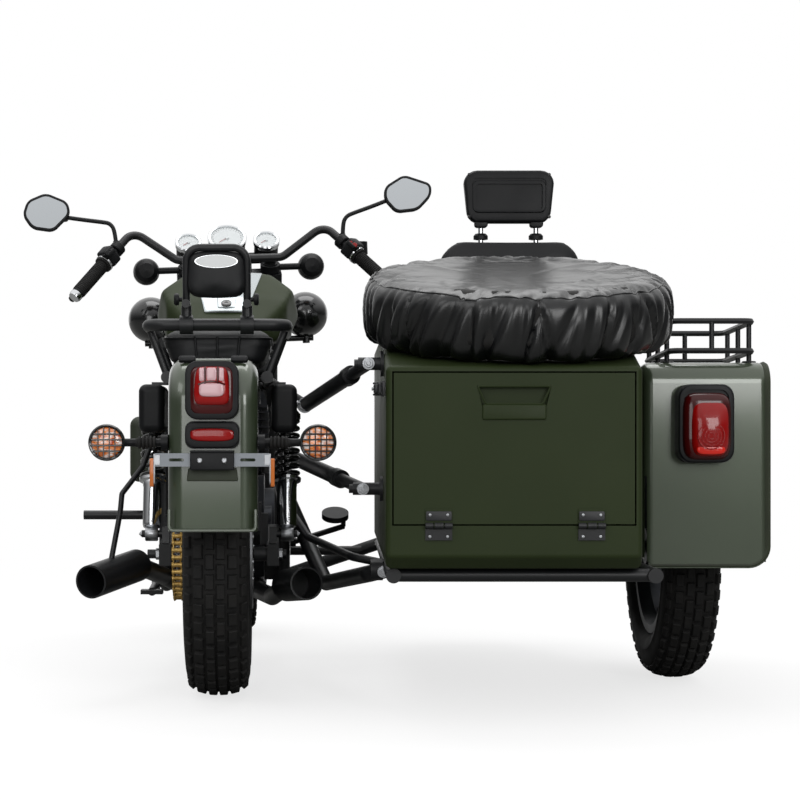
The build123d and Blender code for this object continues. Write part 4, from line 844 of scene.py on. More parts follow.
def slab(name, width, height, depth, corner, edge=0.0, low=0.0):
    """A flat piece on Z = low with rounded corners and a softened top edge."""
    piece = block(name, (width, height, depth), (0, 0, low + depth / 2))
    soften(corner, 5, lambda line: abs(line.verts[0].co.z - line.verts[1].co.z) > depth * 0.9)
    if edge:
        soften(edge, 3, lambda line: all(v.co.z > low + depth - 1e-5 for v in line.verts))
    fresh()
    return piece


def dished(piece, rim, depth, shrink=1.0):
    """Sinks (or raises, with a negative depth) the flat top of a slab inside a rim."""
    top = max(v.co.z for v in piece.data.vertices)
    only(piece)
    choose("FACE", lambda face: face.normal.z > 0.99 and face.calc_center_median().z > top - 1e-5)
    bpy.ops.mesh.inset(thickness=rim, depth=0)
    bpy.ops.mesh.extrude_region_move(TRANSFORM_OT_translate={"value": (0, 0, -depth)})
    if shrink != 1.0:
        middle_y = sum(v.co.y for v in piece.data.vertices) / len(piece.data.vertices)
        bpy.ops.transform.resize(value=(shrink, shrink, 1), center_override=(0, middle_y, 0))
    fresh()
    return piece


def moved(piece, x=0.0, y=0.0, z=0.0):
    """Slides a piece's mesh."""
    piece.data.transform(Matrix.Translation((x, y, z)))
    return piece


def stand(piece, place, turn):
    """Puts a flat piece at its place, looking the way that the turn gives."""
    piece.data.transform(Matrix.Translation(place) @ turn)
    return piece


def lens_dome(name, width, height, depth, squareness=5.0):
    """A pillow-shaped lens on Z = 0: a dome whose outline is a rectangle with soft corners."""
    profile = [(1.0, 0.0), (0.995, 0.30), (0.965, 0.55), (0.90, 0.74), (0.78, 0.86), (0.60, 0.935),
               (0.40, 0.975), (0.18, 0.995)]
    dome = lathe(name, profile, 48)
    for vertex in dome.data.vertices:
        reach = math.hypot(vertex.co.x, vertex.co.y)
        if reach > 1e-6:
            along, up = abs(vertex.co.x / reach), abs(vertex.co.y / reach)
            spread = (along ** squareness + up ** squareness) ** (-1 / squareness)
            vertex.co.x *= spread * width / 2
            vertex.co.y *= spread * height / 2
        vertex.co.z *= depth
    return dome


TAIL_FACE = (0, -508, 654)
REFLECTOR_FACE = (0, -486.3, 567)


def tail_lamp(settings):
    """The stop lamp: raised bezel, stepped lens with pale patches painted on its top as highlights, and the
    reflector below it.
    """
    bezel = dished(slab("bezel", 0.104, 0.114, settings.bezel_depth, 0.024, 0.003), 0.0085,
                   settings.bezel_depth - 0.001)
    frame_ring = dished(slab("frame", 0.106, 0.05, 0.007, 0.02, 0.003), 0.0075, 0.005)
    stand(bezel, at(*TAIL_FACE), REARWARD)
    stand(frame_ring, at(*REFLECTOR_FACE), REARWARD)
    finish(joined("tail_bezels", [bezel, frame_ring]), "moulded_black_abs", 30)
    foot = lens_dome("lens_foot", 0.087, 0.097, 0.01)
    dome = moved(lens_dome("lens_dome", 0.07, 0.076, 0.019, 6.0), y=0.008)
    for vertex in dome.data.vertices:
        vertex.co.x *= 1.0 - 2.6 * max(0.0, vertex.co.y)
    stand(foot, at(*TAIL_FACE), REARWARD)
    finish(foot, "deep_red_lens", 40).name = "tail_lens_foot"
    stand(dome, at(*TAIL_FACE), REARWARD)
    bar = lens_dome("reflector_lens", 0.09, 0.0255, 0.007, 3.0)
    stand(bar, at(*REFLECTOR_FACE), REARWARD)
    finish(joined("rear_lenses", [dome, bar]), "red_lens", 40)
    # Pale pink patches on the lens: painted highlights, standing for the lamps' reflections on its glossy
    # top.
    highlight_patches = [moved(lens_dome("painted_highlight_patch", width, 0.026, 0.0035, 6.0), x=x, y=0.03, z=0.016)
               for x, width in ((-0.019, 0.01), (0.0, 0.02), (0.019, 0.01))]
    highlight_patches.append(moved(lens_dome("painted_highlight_patch", 0.048, 0.026, 0.004, 4.0), y=0.0, z=0.0172))
    lit = stand(joined("lamp_painted_highlights", highlight_patches), at(*TAIL_FACE), REARWARD)
    finish(lit, "pale_red_painted_highlight", 40)
    ribs = [
        moved(slab("rib", 0.0034, 0.034, 0.0196, 0.0014, 0.0006), x=x, y=0.028) for x in (-0.0122, 0.0122)]
    bow = [(x, 0.0165 - 9.0 * x * x, 0.0188 - 4.0 * x * x) for x in (-0.026, -0.013, 0.0, 0.013, 0.026)]
    ribs.append(wire("rib", bow, 0.002, cyclic=False))
    finish(stand(joined("lamp_ribs", ribs), at(*TAIL_FACE), REARWARD), "deep_red_lens", 30)


def signal_face(name, place, body, settings):
    """The front of a round signal, given how it stands: ring, domed lens and the grid over it."""
    ring = lathe("ring", [(0.035, -0.006), (0.0364, 0.0), (0.0364, 0.006), (0.034, 0.009), (0.0312, 0.008),
                          (0.0306, 0.0)], 40)
    lens_piece = lathe("lens", [(0.0308, -0.001), (0.03, 0.005), (0.0245, 0.0085), (0.015, 0.0105),
                                (0.006, 0.0112)], 36)
    bars = []
    span = 0.056 / (settings.grid_bars + 1)
    for index in range(settings.grid_bars):
        offset = (index + 1) * span - 0.028
        reach = 2 * math.sqrt(0.031 ** 2 - offset ** 2)
        bars.append(block("bar", (reach, 0.003, 0.0034), (0, offset, 0.0112), 0.0008, 1))
        bars.append(block("bar", (0.0022, reach, 0.0028), (offset, 0, 0.011), 0.0006, 1))
    grid = joined("grid", [ring] + bars)
    grid.data.transform(place)
    lens_piece.data.transform(place)
    grid.name = name + "_grid"
    lens_piece.name = name + "_lens"
    finish(grid, "gloss_black_lacquer", 30, body=body, slot="black_plastic")
    return finish(lens_piece, "signal_lens_painted_reflector", 30, body=body)


# The right signal's face and the foot of its rubber boot, in mm
REAR_SIGNAL = (208, -460, 552)
BOOT_FOOT = (113, -442, 552)
BOOT_RIBS = 5
BOOT_PITCH = 0.0075


def rear_signals(settings):
    """Both rear signals' faces, and the ribbed boots on their stalks."""
    boots = []
    for side, word in ((-1, "left"), (1, "right")):
        place = Matrix.Translation(beside(side, REAR_SIGNAL)) @ REARWARD
        signal_face("rear_signal_" + word, place, "chassis", settings)
        profile = [(0.008, 0.0)]
        for rib in range(BOOT_RIBS):
            foot = rib * BOOT_PITCH
            profile += [(0.0125, 0.001 + foot), (0.0128, 0.004 + foot), (0.0095, 0.0052 + foot)]
        profile.append((0.0085, 0.04))
        boots.append(put(lathe("boot", profile, 24), beside(side, BOOT_FOOT), (side, 0, 0)))
    finish(joined("signal_boots", boots), "vulcanised_rubber", 35)


# The plate strip's block and bolts and the gusset under them, and what its right end carries, in mm
PLATE_BLOCK = (0, -482, 516)
PLATE_BOLT = (24, -492, 517)
GUSSET = (0, -460, 489)
REFLECTOR_TAB = (112.4, -470, 500)
TAB_FOOT = (108, -484, 518)
SIDE_REFLECTOR = (115.0, -470, 493)


def plate_hardware():
    """What the plate strip carries: its centre block, bolts, end tabs and side reflectors."""
    centre = slab("plate_block", 0.086, 0.036, 0.01, 0.003, 0.002)
    lip = block("plate_lip", (0.086, 0.004, 0.02), (0, 0.0185, 0.004), 0.001, 1)
    cover = stand(joined("plate_block", [centre, lip]), at(*PLATE_BLOCK), REARWARD)
    finish(cover, "moulded_black_abs", 30)
    bolts = [(beside(side, PLATE_BOLT), (0, -1, 0)) for side in (-1, 1)]
    hardware("plate_bolts", round_screw(0.0056, 0.0042), bolts, "chassis")
    gusset = slab("gusset", 0.096, 0.026, 0.007, 0.003, 0.002)
    choose("VERT", lambda v: v.co.y < -0.008)
    bpy.ops.transform.resize(value=(1.05, 1, 1), center_override=(0, 0, 0))
    fresh()
    stand(gusset, at(*GUSSET), REARWARD)
    finish(gusset, "dark_olive_enamel", 30)
    tabs, lenses = [], []
    for side, turn in ((-1, LEFTWARD), (1, RIGHTWARD)):
        tab = slab("tab", 0.03, 0.06, 0.0025, 0.004, 0.0006)
        tabs.append(stand(tab, beside(side, REFLECTOR_TAB), turn))
        bend = block("tab_foot", (0.012, 0.003, 0.02), beside(side, TAB_FOOT), 0.0006, 1)
        tabs.append(bend)
        strip = slab("side_reflector", 0.028, 0.056, 0.0075, 0.004, 0.0018)
        lenses.append(stand(strip, beside(side, SIDE_REFLECTOR), turn))
    finish(joined("reflector_tabs", tabs), "zinc_plated_steel", 30)
    finish(joined("side_reflectors", lenses), "amber_lens", 30)


SIDECAR_LAMP_FACE = (1035, -160.3, 592)


def sidecar_lamp(settings):
    """The sidecar's lamp: black bezel, wedge lens, the round optic in it, and a bright red band painted low
    on the lens as a glow.
    """
    bezel = dished(slab("sidecar_bezel", 0.118, 0.166, settings.bezel_depth, 0.03, 0.004), 0.0075,
                   settings.bezel_depth - 0.001)
    finish(stand(bezel, at(*SIDECAR_LAMP_FACE), REARWARD), "moulded_black_abs", 30)
    foot = moved(lens_dome("lens_foot", 0.102, 0.142, 0.024), y=-0.006)
    face = moved(lens_dome("lens_face", 0.082, 0.122, 0.036, 4.5), x=0.004, y=-0.01)
    for vertex in face.data.vertices:
        vertex.co.z *= 1.0 - 5.0 * max(0.0, vertex.co.y)
    optics = [foot, face]
    for radius in (0.007, 0.014, 0.021, 0.028):
        height = 0.0362 - 1.6 * radius ** 2
        ring = lathe("optic", [(radius - 0.0018, height - 0.005), (radius - 0.0012, height),
                               (radius + 0.0008, height), (radius + 0.0014, height - 0.005)], 40,
                     closed=True)
        optics.append(moved(ring, x=0.004, y=-0.026))
    lens_piece = stand(joined("sidecar_lens", optics[1:]), at(*SIDECAR_LAMP_FACE), REARWARD)
    finish(lens_piece, "red_lens", 30)
    shade = stand(foot, at(*SIDECAR_LAMP_FACE), REARWARD)
    shade.name = "sidecar_lens_foot"
    finish(shade, "deep_red_lens", 30)
    # A painted glow: a bright red band low on the lens, standing for light in it; nothing here gives light.
    band = moved(lens_dome("painted_glow_band", 0.06, 0.02, 0.0045, 3.0), x=0.004, y=-0.0555, z=0.0285)
    lit = stand(band, at(*SIDECAR_LAMP_FACE), REARWARD)
    lit.name = "sidecar_lamp_painted_glow"
    finish(lit, "bright_red_painted_glow", 30)


class MOTORCYCLE_OT_rear_lamps(bpy.types.Operator):
    """Model the lamps, signals and plate hardware at the rear"""
    bl_idname = "motorcycle.rear_lamps"
    bl_label = "Rear lamps"

    def execute(self, context):
        settings = context.scene.motorcycle_lamps
        tail_lamp(settings)
        rear_signals(settings)
        plate_hardware()
        sidecar_lamp(settings)
        return {"FINISHED"}


# ------------------------------------------------------------------ upholstery
class UpholsterySettings(bpy.types.PropertyGroup):
    """How full the cushions are and how their seams are sewn."""
    pressure: FloatProperty(name="Pressure", description="Air pressure that rounds a cushion", default=4.0,
                            min=0.5, max=10.0)
    piping: FloatProperty(name="Piping", description="Radius of the piping along a seam", default=0.0026,
                          min=0.001, max=0.006, unit="LENGTH")


def pad_form(name, size, corner, taper=1.0):
    """The foam of a cushion about the origin: a rounded block whose top may be narrower."""
    height = size[2]
    piece = block(name, size, (0, 0, 0))
    soften(corner, 6, lambda line: abs(line.verts[0].co.z - line.verts[1].co.z) > height * 0.9)
    soften(min(height * 0.36, corner), 5, lambda line: all(v.co.z > height / 2 - 1e-5 for v in line.verts))
    soften(0.006, 2, lambda line: all(v.co.z < 1e-5 - height / 2 for v in line.verts))
    if taper != 1.0:
        choose("VERT", lambda v: v.co.z > 0)
        bpy.ops.transform.resize(value=(taper, taper, 1), center_override=(0, 0, 0))
    fresh()
    return piece


def inflate(piece, pressure, cap, voxel=0.006):
    """Swells a remeshed cushion with cloth and keeps every point within the cap of where it began."""
    modify(piece, "REMESH", mode="VOXEL", voxel_size=voxel)
    start = [v.co.copy() for v in piece.data.vertices]
    only(piece)
    cloth = piece.modifiers.new("swell", "CLOTH")
    cloth.settings.use_pressure = True
    cloth.settings.uniform_pressure_force = pressure
    cloth.settings.effector_weights.gravity = 0
    cloth.settings.quality = 4
    cloth.point_cache.frame_start = 1
    cloth.point_cache.frame_end = 20
    for step in range(1, 21):
        bpy.context.scene.frame_set(step)
    bpy.ops.object.modifier_apply(modifier=cloth.name)
    bpy.context.scene.frame_set(1)
    for vertex, old in zip(piece.data.vertices, start):
        shift = vertex.co - old
        if shift.length > cap:
            vertex.co = old + shift.normalized() * cap
    modify(piece, "SMOOTH", factor=0.5, iterations=4)
    return piece


def slump(piece, height, reach, axis=0):
    """Crowns a cushion: its middle stands higher than its sides."""
    low = Vector((min(v.co[i] for v in piece.data.vertices) for i in range(3)))
    high = Vector((max(v.co[i] for v in piece.data.vertices) for i in range(3)))
    centre = (low + high) / 2
    for vertex in piece.data.vertices:
        if vertex.co.z > centre.z:
            share = min(1.0, abs(vertex.co[axis] - centre[axis]) / reach)
            vertex.co.z -= height * share ** 2
    return piece


def loop_piping(width, height, corner, radius, count=8):
    """A closed ring of piping on Z = 0 round a rectangle with rounded corners."""
    points = []
    for sx, sy, start in ((1, 1, 0), (-1, 1, 90), (-1, -1, 180), (1, -1, 270)):
        for step in range(count + 1):
            angle = math.radians(start + 90 * step / count)
            points.append((sx * (width / 2 - corner) + corner * math.cos(angle),
                           sy * (height / 2 - corner) + corner * math.sin(angle), 0))
    return wire("piping", points, radius, roundness=2)


def widened(piece, amount):
    """Widens a pad towards its top, by a share of its width."""
    low = min(v.co.z for v in piece.data.vertices)
    high = max(v.co.z for v in piece.data.vertices)
    for vertex in piece.data.vertices:
        vertex.co.x *= 1 + amount * (vertex.co.z - low) / (high - low)
    return piece


# Each part of the bike's seat: name, size in metres, centre in mm, widening, drop of its sides, half width
BIKE_SEATS = (
    ("rider_seat", (0.246, 0.306, 0.082), (0, 396, 745.3), 0.0, 0.012, 0.12),
    ("pillion_seat", (0.204, 0.385, 0.068), (0, 43.5, 757.2), 0.23, 0.007, 0.125),
)


def rider_seats(settings):
    """The rider's seat and the pillion's, with piping round their tops and ribs across the pillion's rear."""
    seams = []
    for name, size, place, amount, drop, reach in BIKE_SEATS:
        pad = pad_form(name, size, 0.045, 1.0 if amount else 0.90)
        widened(pad, amount)
        inflate(pad, settings.pressure, 0.005)
        slump(pad, drop, reach)
        pad.data.transform(Matrix.Translation(at(*place)))
        finish(pad, "grained_vinyl", 60, standing_for=("bike_seats",) if name == "rider_seat" else ())
        width = size[0] * (0.94 + amount * 0.85)
        ring = loop_piping(width, size[1] - 0.014, 0.045, settings.piping)
        seams.append(stand(ring, at(*place) + Vector((0, 0, size[2] * 0.24)), Matrix.Identity(4)))
    rear = BIKE_SEATS[1][2][1] - BIKE_SEATS[1][1][1] * 500
    for x in (-44, 0, 44):
        path = [at(x, rear + 1.0, 736), at(x * 1.04, rear - 0.5, 756), at(x * 1.08, rear + 2.0, 776)]
        seams.append(wire("rib", path, settings.piping, cyclic=False))
    finish(joined("seat_piping", seams), "moulded_black_abs", 60, slot="seat_vinyl")


BACK_PAD = (0, -198, 905)
BACK_BADGE = (0, -217.0, 930)


def backrest(settings):
    """The pillion's back pad with a plain oval badge."""
    pad = pad_form("pillion_backrest", (0.124, 0.098, 0.034), 0.024, 0.94)
    inflate(pad, settings.pressure, 0.005, 0.004)
    stand(pad, at(*BACK_PAD), REARWARD)
    finish(pad, "grained_vinyl", 60, standing_for=("backrest_pad",))
    badge = lathe("badge", [(0.0435, -0.004), (0.0435, 0.0015), (0.0415, 0.0026)], 64)
    rim = lathe("badge_rim", [(0.043, 0.0), (0.043, 0.003), (0.045, 0.003), (0.0458, 0.0)], 64, closed=True)
    for piece, name in ((badge, "badge"), (rim, "badge_rim")):
        piece.data.transform(Matrix.Diagonal((1.0, 0.30, 1, 1)))
        stand(piece, at(*BACK_BADGE), REARWARD)
        piece.name = "backrest_" + name
    finish(badge, "white_print", 35)
    finish(rim, "chrome_plate", 35)


# The back cushion is pressed down and a little to the left on its frame
BACK_SHIFT = Vector((-0.006, 0, -0.002))


def sidecar_upholstery(settings):
    """The passenger's cushion, back and head pad, with the head pad's hard shell."""
    for node, name, corner, taper in (("sidecar_seat", "sidecar_cushion", 0.045, 0.96),
                                      ("sidecar_backrest", "sidecar_back", 0.05, 0.94)):
        low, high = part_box(node)
        size = high - low
        if node == "sidecar_seat":
            pad = pad_form(name, (size.x - 0.008, size.y - 0.008, size.z - 0.006), corner, taper)
            inflate(pad, settings.pressure, 0.008, 0.007)
            slump(pad, 0.012, size.x / 2)
            pad.data.transform(Matrix.Translation((low + high) / 2))
        else:
            pad = pad_form(name, (size.x - 0.01, size.z - 0.02, size.y - 0.006), corner, taper)
            inflate(pad, settings.pressure, 0.008, 0.007)
            stand(pad, (low + high) / 2 + BACK_SHIFT, FORWARD)
        finish(pad, "grained_vinyl", 60, standing_for=(node,))
    low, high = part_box("sidecar_seat")
    centre, size = (low + high) / 2, high - low
    piping = [stand(loop_piping(size.x * 0.955, size.y * 0.955, 0.045, settings.piping),
                    centre + Vector((0, 0, size.z * 0.26)), Matrix.Identity(4))]
    low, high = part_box("sidecar_backrest")
    centre, size = (low + high) / 2, high - low
    for share in (-0.30, 0.30):
        piping.append(stand(loop_piping(size.x * 0.94, (size.z - 0.016) * 0.94, 0.05, settings.piping),
                            centre + BACK_SHIFT + Vector((0, size.y * share, 0)), FORWARD))
    finish(joined("sidecar_piping", piping), "moulded_black_abs", 60, slot="seat_vinyl")


# The headrest's middle, how far out its posts are, and where they and their collars start, in mm
HEAD = Vector((655, 186.3, 1111))
POST_OUT = 63
POST_FOOT_Z = 990
COLLAR_Z = 1014


def headrest_shell():
    """The moulded shell behind the head pad, with its sunk panel, its post sockets and its screws."""
    shell = slab("headrest_shell", 0.205, 0.12, 0.024, 0.03, 0.008)
    choose("VERT", lambda v: v.co.y < 0)
    bpy.ops.transform.resize(value=(0.94, 1, 1), center_override=(0, 0, 0))
    fresh()
    dished(shell, 0.01, 0.003)
    bead = dished(slab("panel_bead", 0.168, 0.074, 0.0255, 0.014, 0.0025), 0.006, 0.006)
    sockets = [moved(slab("post_socket", 0.03, 0.02, 0.02, 0.007, 0.003), x=x / 1000, y=-0.06)
               for x in (-POST_OUT, POST_OUT)]
    shell = joined("headrest_shell", [shell, bead, *sockets])
    stand(shell, at(*HEAD) + Vector((0, 0.002, 0)), REARWARD)
    finish(shell, "moulded_black_abs", 30)
    spots = [(at(HEAD.x + x, HEAD.y - 19, HEAD.z + z), (0, -1, 0)) for x in (-91, 91) for z in (-46, 50)]
    hardware("headrest_screws", round_screw(0.004, 0.003), spots, "chassis", "gloss_black_lacquer",
             "black_steel")


def headrest_posts():
    """The two chromed posts under the head pad, each in its moulded collar."""
    posts, collars = [], []
    for x in (HEAD.x - POST_OUT, HEAD.x + POST_OUT):
        post = lathe("post", [(0.0058, 0.0), (0.0058, 0.07)], 20)
        collar = lathe("collar", [(0.012, 0.0), (0.0165, 0.001), (0.0165, 0.009), (0.012, 0.014),
                                  (0.0062, 0.015)], 24)
        posts.append(put(post, at(x, HEAD.y, POST_FOOT_Z)))
        collars.append(put(collar, at(x, HEAD.y, COLLAR_Z)))
    finish(joined("headrest_posts", posts), "chrome_plate", 35)
    finish(joined("headrest_sockets", collars), "moulded_black_abs", 35)


def headrest(settings):
    """The head pad, which faces forward, with its shell behind it and its posts under it."""
    pad = pad_form("headrest_pad", (0.19, 0.106, 0.03), 0.03, 0.92)
    inflate(pad, settings.pressure, 0.005, 0.005)
    stand(pad, at(*HEAD) + Vector((0, 0.006, 0)), FORWARD)
    finish(pad, "grained_vinyl", 60, standing_for=("headrest",))
    headrest_shell()
    headrest_posts()


class MOTORCYCLE_OT_upholstery(bpy.types.Operator):
    """Model the seats, backrests and headrest"""
    bl_idname = "motorcycle.upholstery"
    bl_label = "Upholstery"

    def execute(self, context):
        settings = context.scene.motorcycle_upholstery
        rider_seats(settings)
        backrest(settings)
        sidecar_upholstery(settings)
        headrest(settings)
        return {"FINISHED"}


# ------------------------------------------------------------------ spare wheel's cover
class CoverSettings(bpy.types.PropertyGroup):
    """The pleats of the spare wheel's cover."""
    pleats: IntProperty(name="Pleats", description="Deep folds round the side", default=64, min=10, max=120)
    fold_depth: FloatProperty(name="Fold depth", description="Depth of the deepest fold", default=0.017,
                              min=0.002, max=0.02, unit="LENGTH")
    puff: FloatProperty(name="Puff", description="How far air lifts the cloth at the front", default=0.016,
                        min=0, max=0.03, unit="LENGTH")
    seed: IntProperty(name="Seed", description="Changes where the folds fall", default=11, min=0, max=999)


COVER_SEGMENTS = 360
COVER_SEAM = 3  # The table's row along which the disc is sewn to the side
DISC_ROWS = 20  # Rows across the flat of the disc
# The cover's section from the disc's edge to the hem: radius and height in metres, pull of the radial
# creases and pull of the pleats there, as shares of the fold depth
COVER_ROW = (
    (0.254, 0.069, 0.22, 0.00), (0.272, 0.0678, 0.40, 0.05), (0.287, 0.0645, 0.44, 0.14),
    (0.2985, 0.058, 0.30, 0.24), (0.306, 0.0525, 0.16, 0.36), (0.312, 0.045, 0.08, 0.50),
    (0.3165, 0.035, 0.00, 0.64), (0.3195, 0.023, 0.00, 0.76), (0.321, 0.01, 0.00, 0.86),
    (0.3215, -0.003, 0.00, 0.92), (0.321, -0.0155, 0.00, 0.97), (0.32, -0.028, 0.00, 1.00),
    (0.319, -0.04, 0.00, 1.05), (0.315, -0.051, 0.00, 1.10), (0.3085, -0.06, 0.00, 1.12),
    (0.299, -0.0665, 0.00, 1.10), (0.287, -0.07, 0.00, 0.80), (0.273, -0.0712, 0.00, 0.40),
)
DECK_SLOPE = math.atan2(110, 590)
SPARE_CENTRE = at(624, -234, 755.2) + 0.0756 * Vector((0, -math.sin(DECK_SLOPE), math.cos(DECK_SLOPE)))
# The cover is cut as a disc 0.65 m across and a strip for its side
COVER_PLACE = Matrix.Translation(SPARE_CENTRE) @ Matrix.Rotation(DECK_SLOPE, 4, "X")


def cover_rows():
    """The whole section: close rows across the disc, whose creases fade to its middle, then the table."""
    for index in range(DISC_ROWS):
        share = index / DISC_ROWS
        yield 0.006 + 0.248 * share, 0.064 + 0.005 * share ** 2, 0.22 * share ** 4, 0.0
    yield from COVER_ROW


def wrinkle_table(settings):
    """Long soft wrinkles across the disc: (place, direction, half length, width, height), seeded."""
    chance = random.Random(settings.seed + 2)
    for _ in range(34):
        angle = chance.uniform(0, math.pi)
        place = Vector((chance.uniform(-0.20, 0.20), chance.uniform(-0.20, 0.20)))
        yield (place, Vector((math.cos(angle), math.sin(angle))), chance.uniform(0.05, 0.13),
               chance.uniform(0.006, 0.013), chance.uniform(-0.003, 0.005))


def wrinkle_lift(spot, wrinkles):
    """How far the wrinkles lift the disc at a spot."""
    lift = 0.0
    for place, way, length, width, height in wrinkles:
        away = spot - place
        along, across = away.dot(way), away.cross(way)
        if abs(along) < length and abs(across) < 3 * width:
            lift += height * math.cos(along / length * math.pi / 2) ** 2 * math.exp(-(across / width) ** 2)
    return lift


def fold_table(settings):
    """Rows of (angle, depth, sharpness, lean): where each pleat falls, by a seeded shuffle."""
    chance = random.Random(settings.seed)
    for index in range(settings.pleats):
        angle = (index + chance.uniform(-0.38, 0.38)) * 2 * math.pi / settings.pleats
        yield angle, chance.uniform(0.35, 1.0), chance.uniform(0.01, 0.026), chance.uniform(-0.12, 0.12)


def fold_pull(angle, height, folds):
    """How far the folds pull the cloth in at one angle: steep on one side of each, slow on the other."""
    pull = 0.0
    for centre, depth, width, lean in folds:
        away = (angle - centre - lean * height / 0.07 + math.pi) % (2 * math.pi) - math.pi
        reach = width if away > 0 else width * 2.2
        if abs(away) < reach * 3:
            pull += depth * math.exp(-(away / reach) ** 2)
    return min(pull, 1.15)


def cover_blank(sections):
    """The cover's smooth cloth, extruded ring by ring from the middle of the disc to the hem."""
    fresh()
    radius, height, _, _ = sections[0]
    bpy.ops.mesh.primitive_circle_add(
        vertices=COVER_SEGMENTS, radius=radius, fill_type="NGON", location=(0, 0, height))
    cover = made("cover_cloth")
    choose("EDGE", lambda line: True)
    for next_radius, next_height, _, _ in sections[1:]:
        bpy.ops.mesh.extrude_region_move(TRANSFORM_OT_translate={"value": (0, 0, next_height - height)})
        grow = next_radius / radius
        bpy.ops.transform.resize(value=(grow, grow, 1), center_override=(0, 0, 0))
        choose("EDGE", lambda line: all(abs(v.co.z - next_height) < 1e-6 and
                                        abs(v.co.xy.length - next_radius) < 1e-5 for v in line.verts))
        radius, height = next_radius, next_height
    fresh()
    return cover


def press_folds(cover, sections, settings):
    """Pleats the side, creases the disc towards its edge, and lets air and its own weight shape it."""
    folds = list(fold_table(settings))
    chance = random.Random(settings.seed + 1)
    creases = [(chance.uniform(0, 2 * math.pi), chance.uniform(0.3, 1.0), chance.uniform(0.012, 0.03),
                chance.uniform(-0.5, 0.5)) for _ in range(64)]
    rows = {(r, z): (top, side) for r, z, top, side in sections}
    wrinkles = list(wrinkle_table(settings))
    for vertex in cover.data.vertices:
        reach = vertex.co.xy.length
        key = min(rows, key=lambda row: abs(row[0] - reach) + abs(row[1] - vertex.co.z))
        top, side = rows[key]
        angle = math.atan2(vertex.co.y, vertex.co.x)
        pull = fold_pull(angle, vertex.co.z, folds) * side * settings.fold_depth
        press = fold_pull(angle, reach - 0.3, creases) * top * settings.fold_depth
        sag = 0.0045 * clipped(1 - reach / 0.17)
        puff = settings.puff * clipped((vertex.co.y + 0.12) / 0.36) * clipped(vertex.co.z / 0.05)
        wander = 0.0016 * math.sin(angle * 5 + 0.7) + 0.001 * math.sin(angle * 11 + 2.0)
        grow = (reach - pull + wander * clipped(reach / 0.2)) / reach
        if vertex.co.z > 0.05:
            vertex.co.z += wrinkle_lift(vertex.co.xy, wrinkles) * clipped((0.29 - reach) / 0.05)
        vertex.co.x *= grow
        vertex.co.y *= grow
        vertex.co.z += puff - press - sag
        if vertex.co.z < -0.05:
            vertex.co.z += 0.004 * math.sin(angle * 17 + 1.0) * side


def cover_trim(cover):
    """The piping of the disc's seam, the side's own seam and the hem, along the cloth's own points."""
    ring = {}
    for vertex in cover.data.vertices:
        spot = round(math.degrees(math.atan2(vertex.co.y, vertex.co.x)) % 360)
        ring.setdefault(spot, []).append(vertex.co.copy())
    for spot in ring:
        ring[spot].sort(key=lambda place: (-place.z if place.xy.length > 0.3 else place.xy.length - 10))
    seam_r, seam_z = COVER_ROW[COVER_SEAM][:2]
    seam_points = []
    for spot in sorted(ring):
        seam_points.append(min(ring[spot], key=lambda p: abs(p.xy.length - seam_r) + abs(p.z - seam_z)))
    side_points = []
    for r, z, _, _ in COVER_ROW[COVER_SEAM:]:
        side_points.append(min(ring[272], key=lambda p: abs(p.xy.length - r) + abs(p.z - z)))
    hem_points = [min(ring[spot], key=lambda p: p.xy.length if p.z < 0 else 9) for spot in sorted(ring)]
    seam = wire("cover_seam", seam_points, 0.0017)
    side_seam = wire("cover_side_seam", side_points, 0.0014, cyclic=False)
    hem = wire("cover_hem", hem_points, 0.003)
    return joined("cover_stitching", [seam, side_seam, hem])


def clipped(value):
    """A value held between 0 and 1."""
    return max(0.0, min(1.0, value))


def spare_cover(settings):
    """The cover: a disc sewn to a pleated side, drawn in under the tyre by its hem."""
    sections = list(cover_rows())
    cover = cover_blank(sections)
    press_folds(cover, sections, settings)
    trim = cover_trim(cover)
    for piece in (cover, trim):
        piece.data.transform(COVER_PLACE)
    finish(cover, "coated_polyester", 70, standing_for=("spare_cover",))
    finish(trim, "coated_polyester", 60)
    area = sum(face.area for face in cover.data.polygons)
    return area


class MOTORCYCLE_OT_spare_cover(bpy.types.Operator):
    """Model the pleated cover over the spare wheel"""
    bl_idname = "motorcycle.spare_cover"
    bl_label = "Spare wheel cover"

    def execute(self, context):
        area = spare_cover(context.scene.motorcycle_cover)
        self.report({"INFO"}, f"cover cloth {area:.3f} square metres")
        return {"FINISHED"}


# ------------------------------------------------------------------ steering's fittings
class SteeringSettings(bpy.types.PropertyGroup):
    """Small sizes of the rider's controls."""
    mirror_tilt: FloatProperty(name="Mirror tilt", description="How far each mirror's glass looks up",
                               default=math.radians(9), min=0, max=0.4, subtype="ANGLE")
    grip_ribs: IntProperty(name="Grip ribs", description="Ribs moulded round each grip", default=20, min=6,
                           max=40)


BAR_PEAK = (258, 1030, 1128)
BAR_END = (408, 915, 960)
# Outline of each mirror, left and right, as (x, z) from its centre in mm
MIRROR_OUTLINE = {
    -1: ((0, 54), (58, 27), (64, -8), (17, -54), (-40, -44), (-64, -6), (-50, 34)),
    1: ((-8, 53), (66, 25), (64, -9), (25, -48), (-35, -53), (-66, -15), (-62, 21)),
}
# How far each mirror, left and right, is set above MIRROR_Z, in mm
MIRROR_LIFT = {-1: -4, 1: 17}
MIRROR_X, MIRROR_Y, MIRROR_Z = 486, 1019, 1184
GAUGE_TILT = math.radians(46)
# Centre, radius and half depth of each gauge, in mm
GAUGES = (((0, 1150, 1088), 50, 25), ((-107, 1140, 1080), 33, 22), ((107, 1140, 1080), 33, 22))


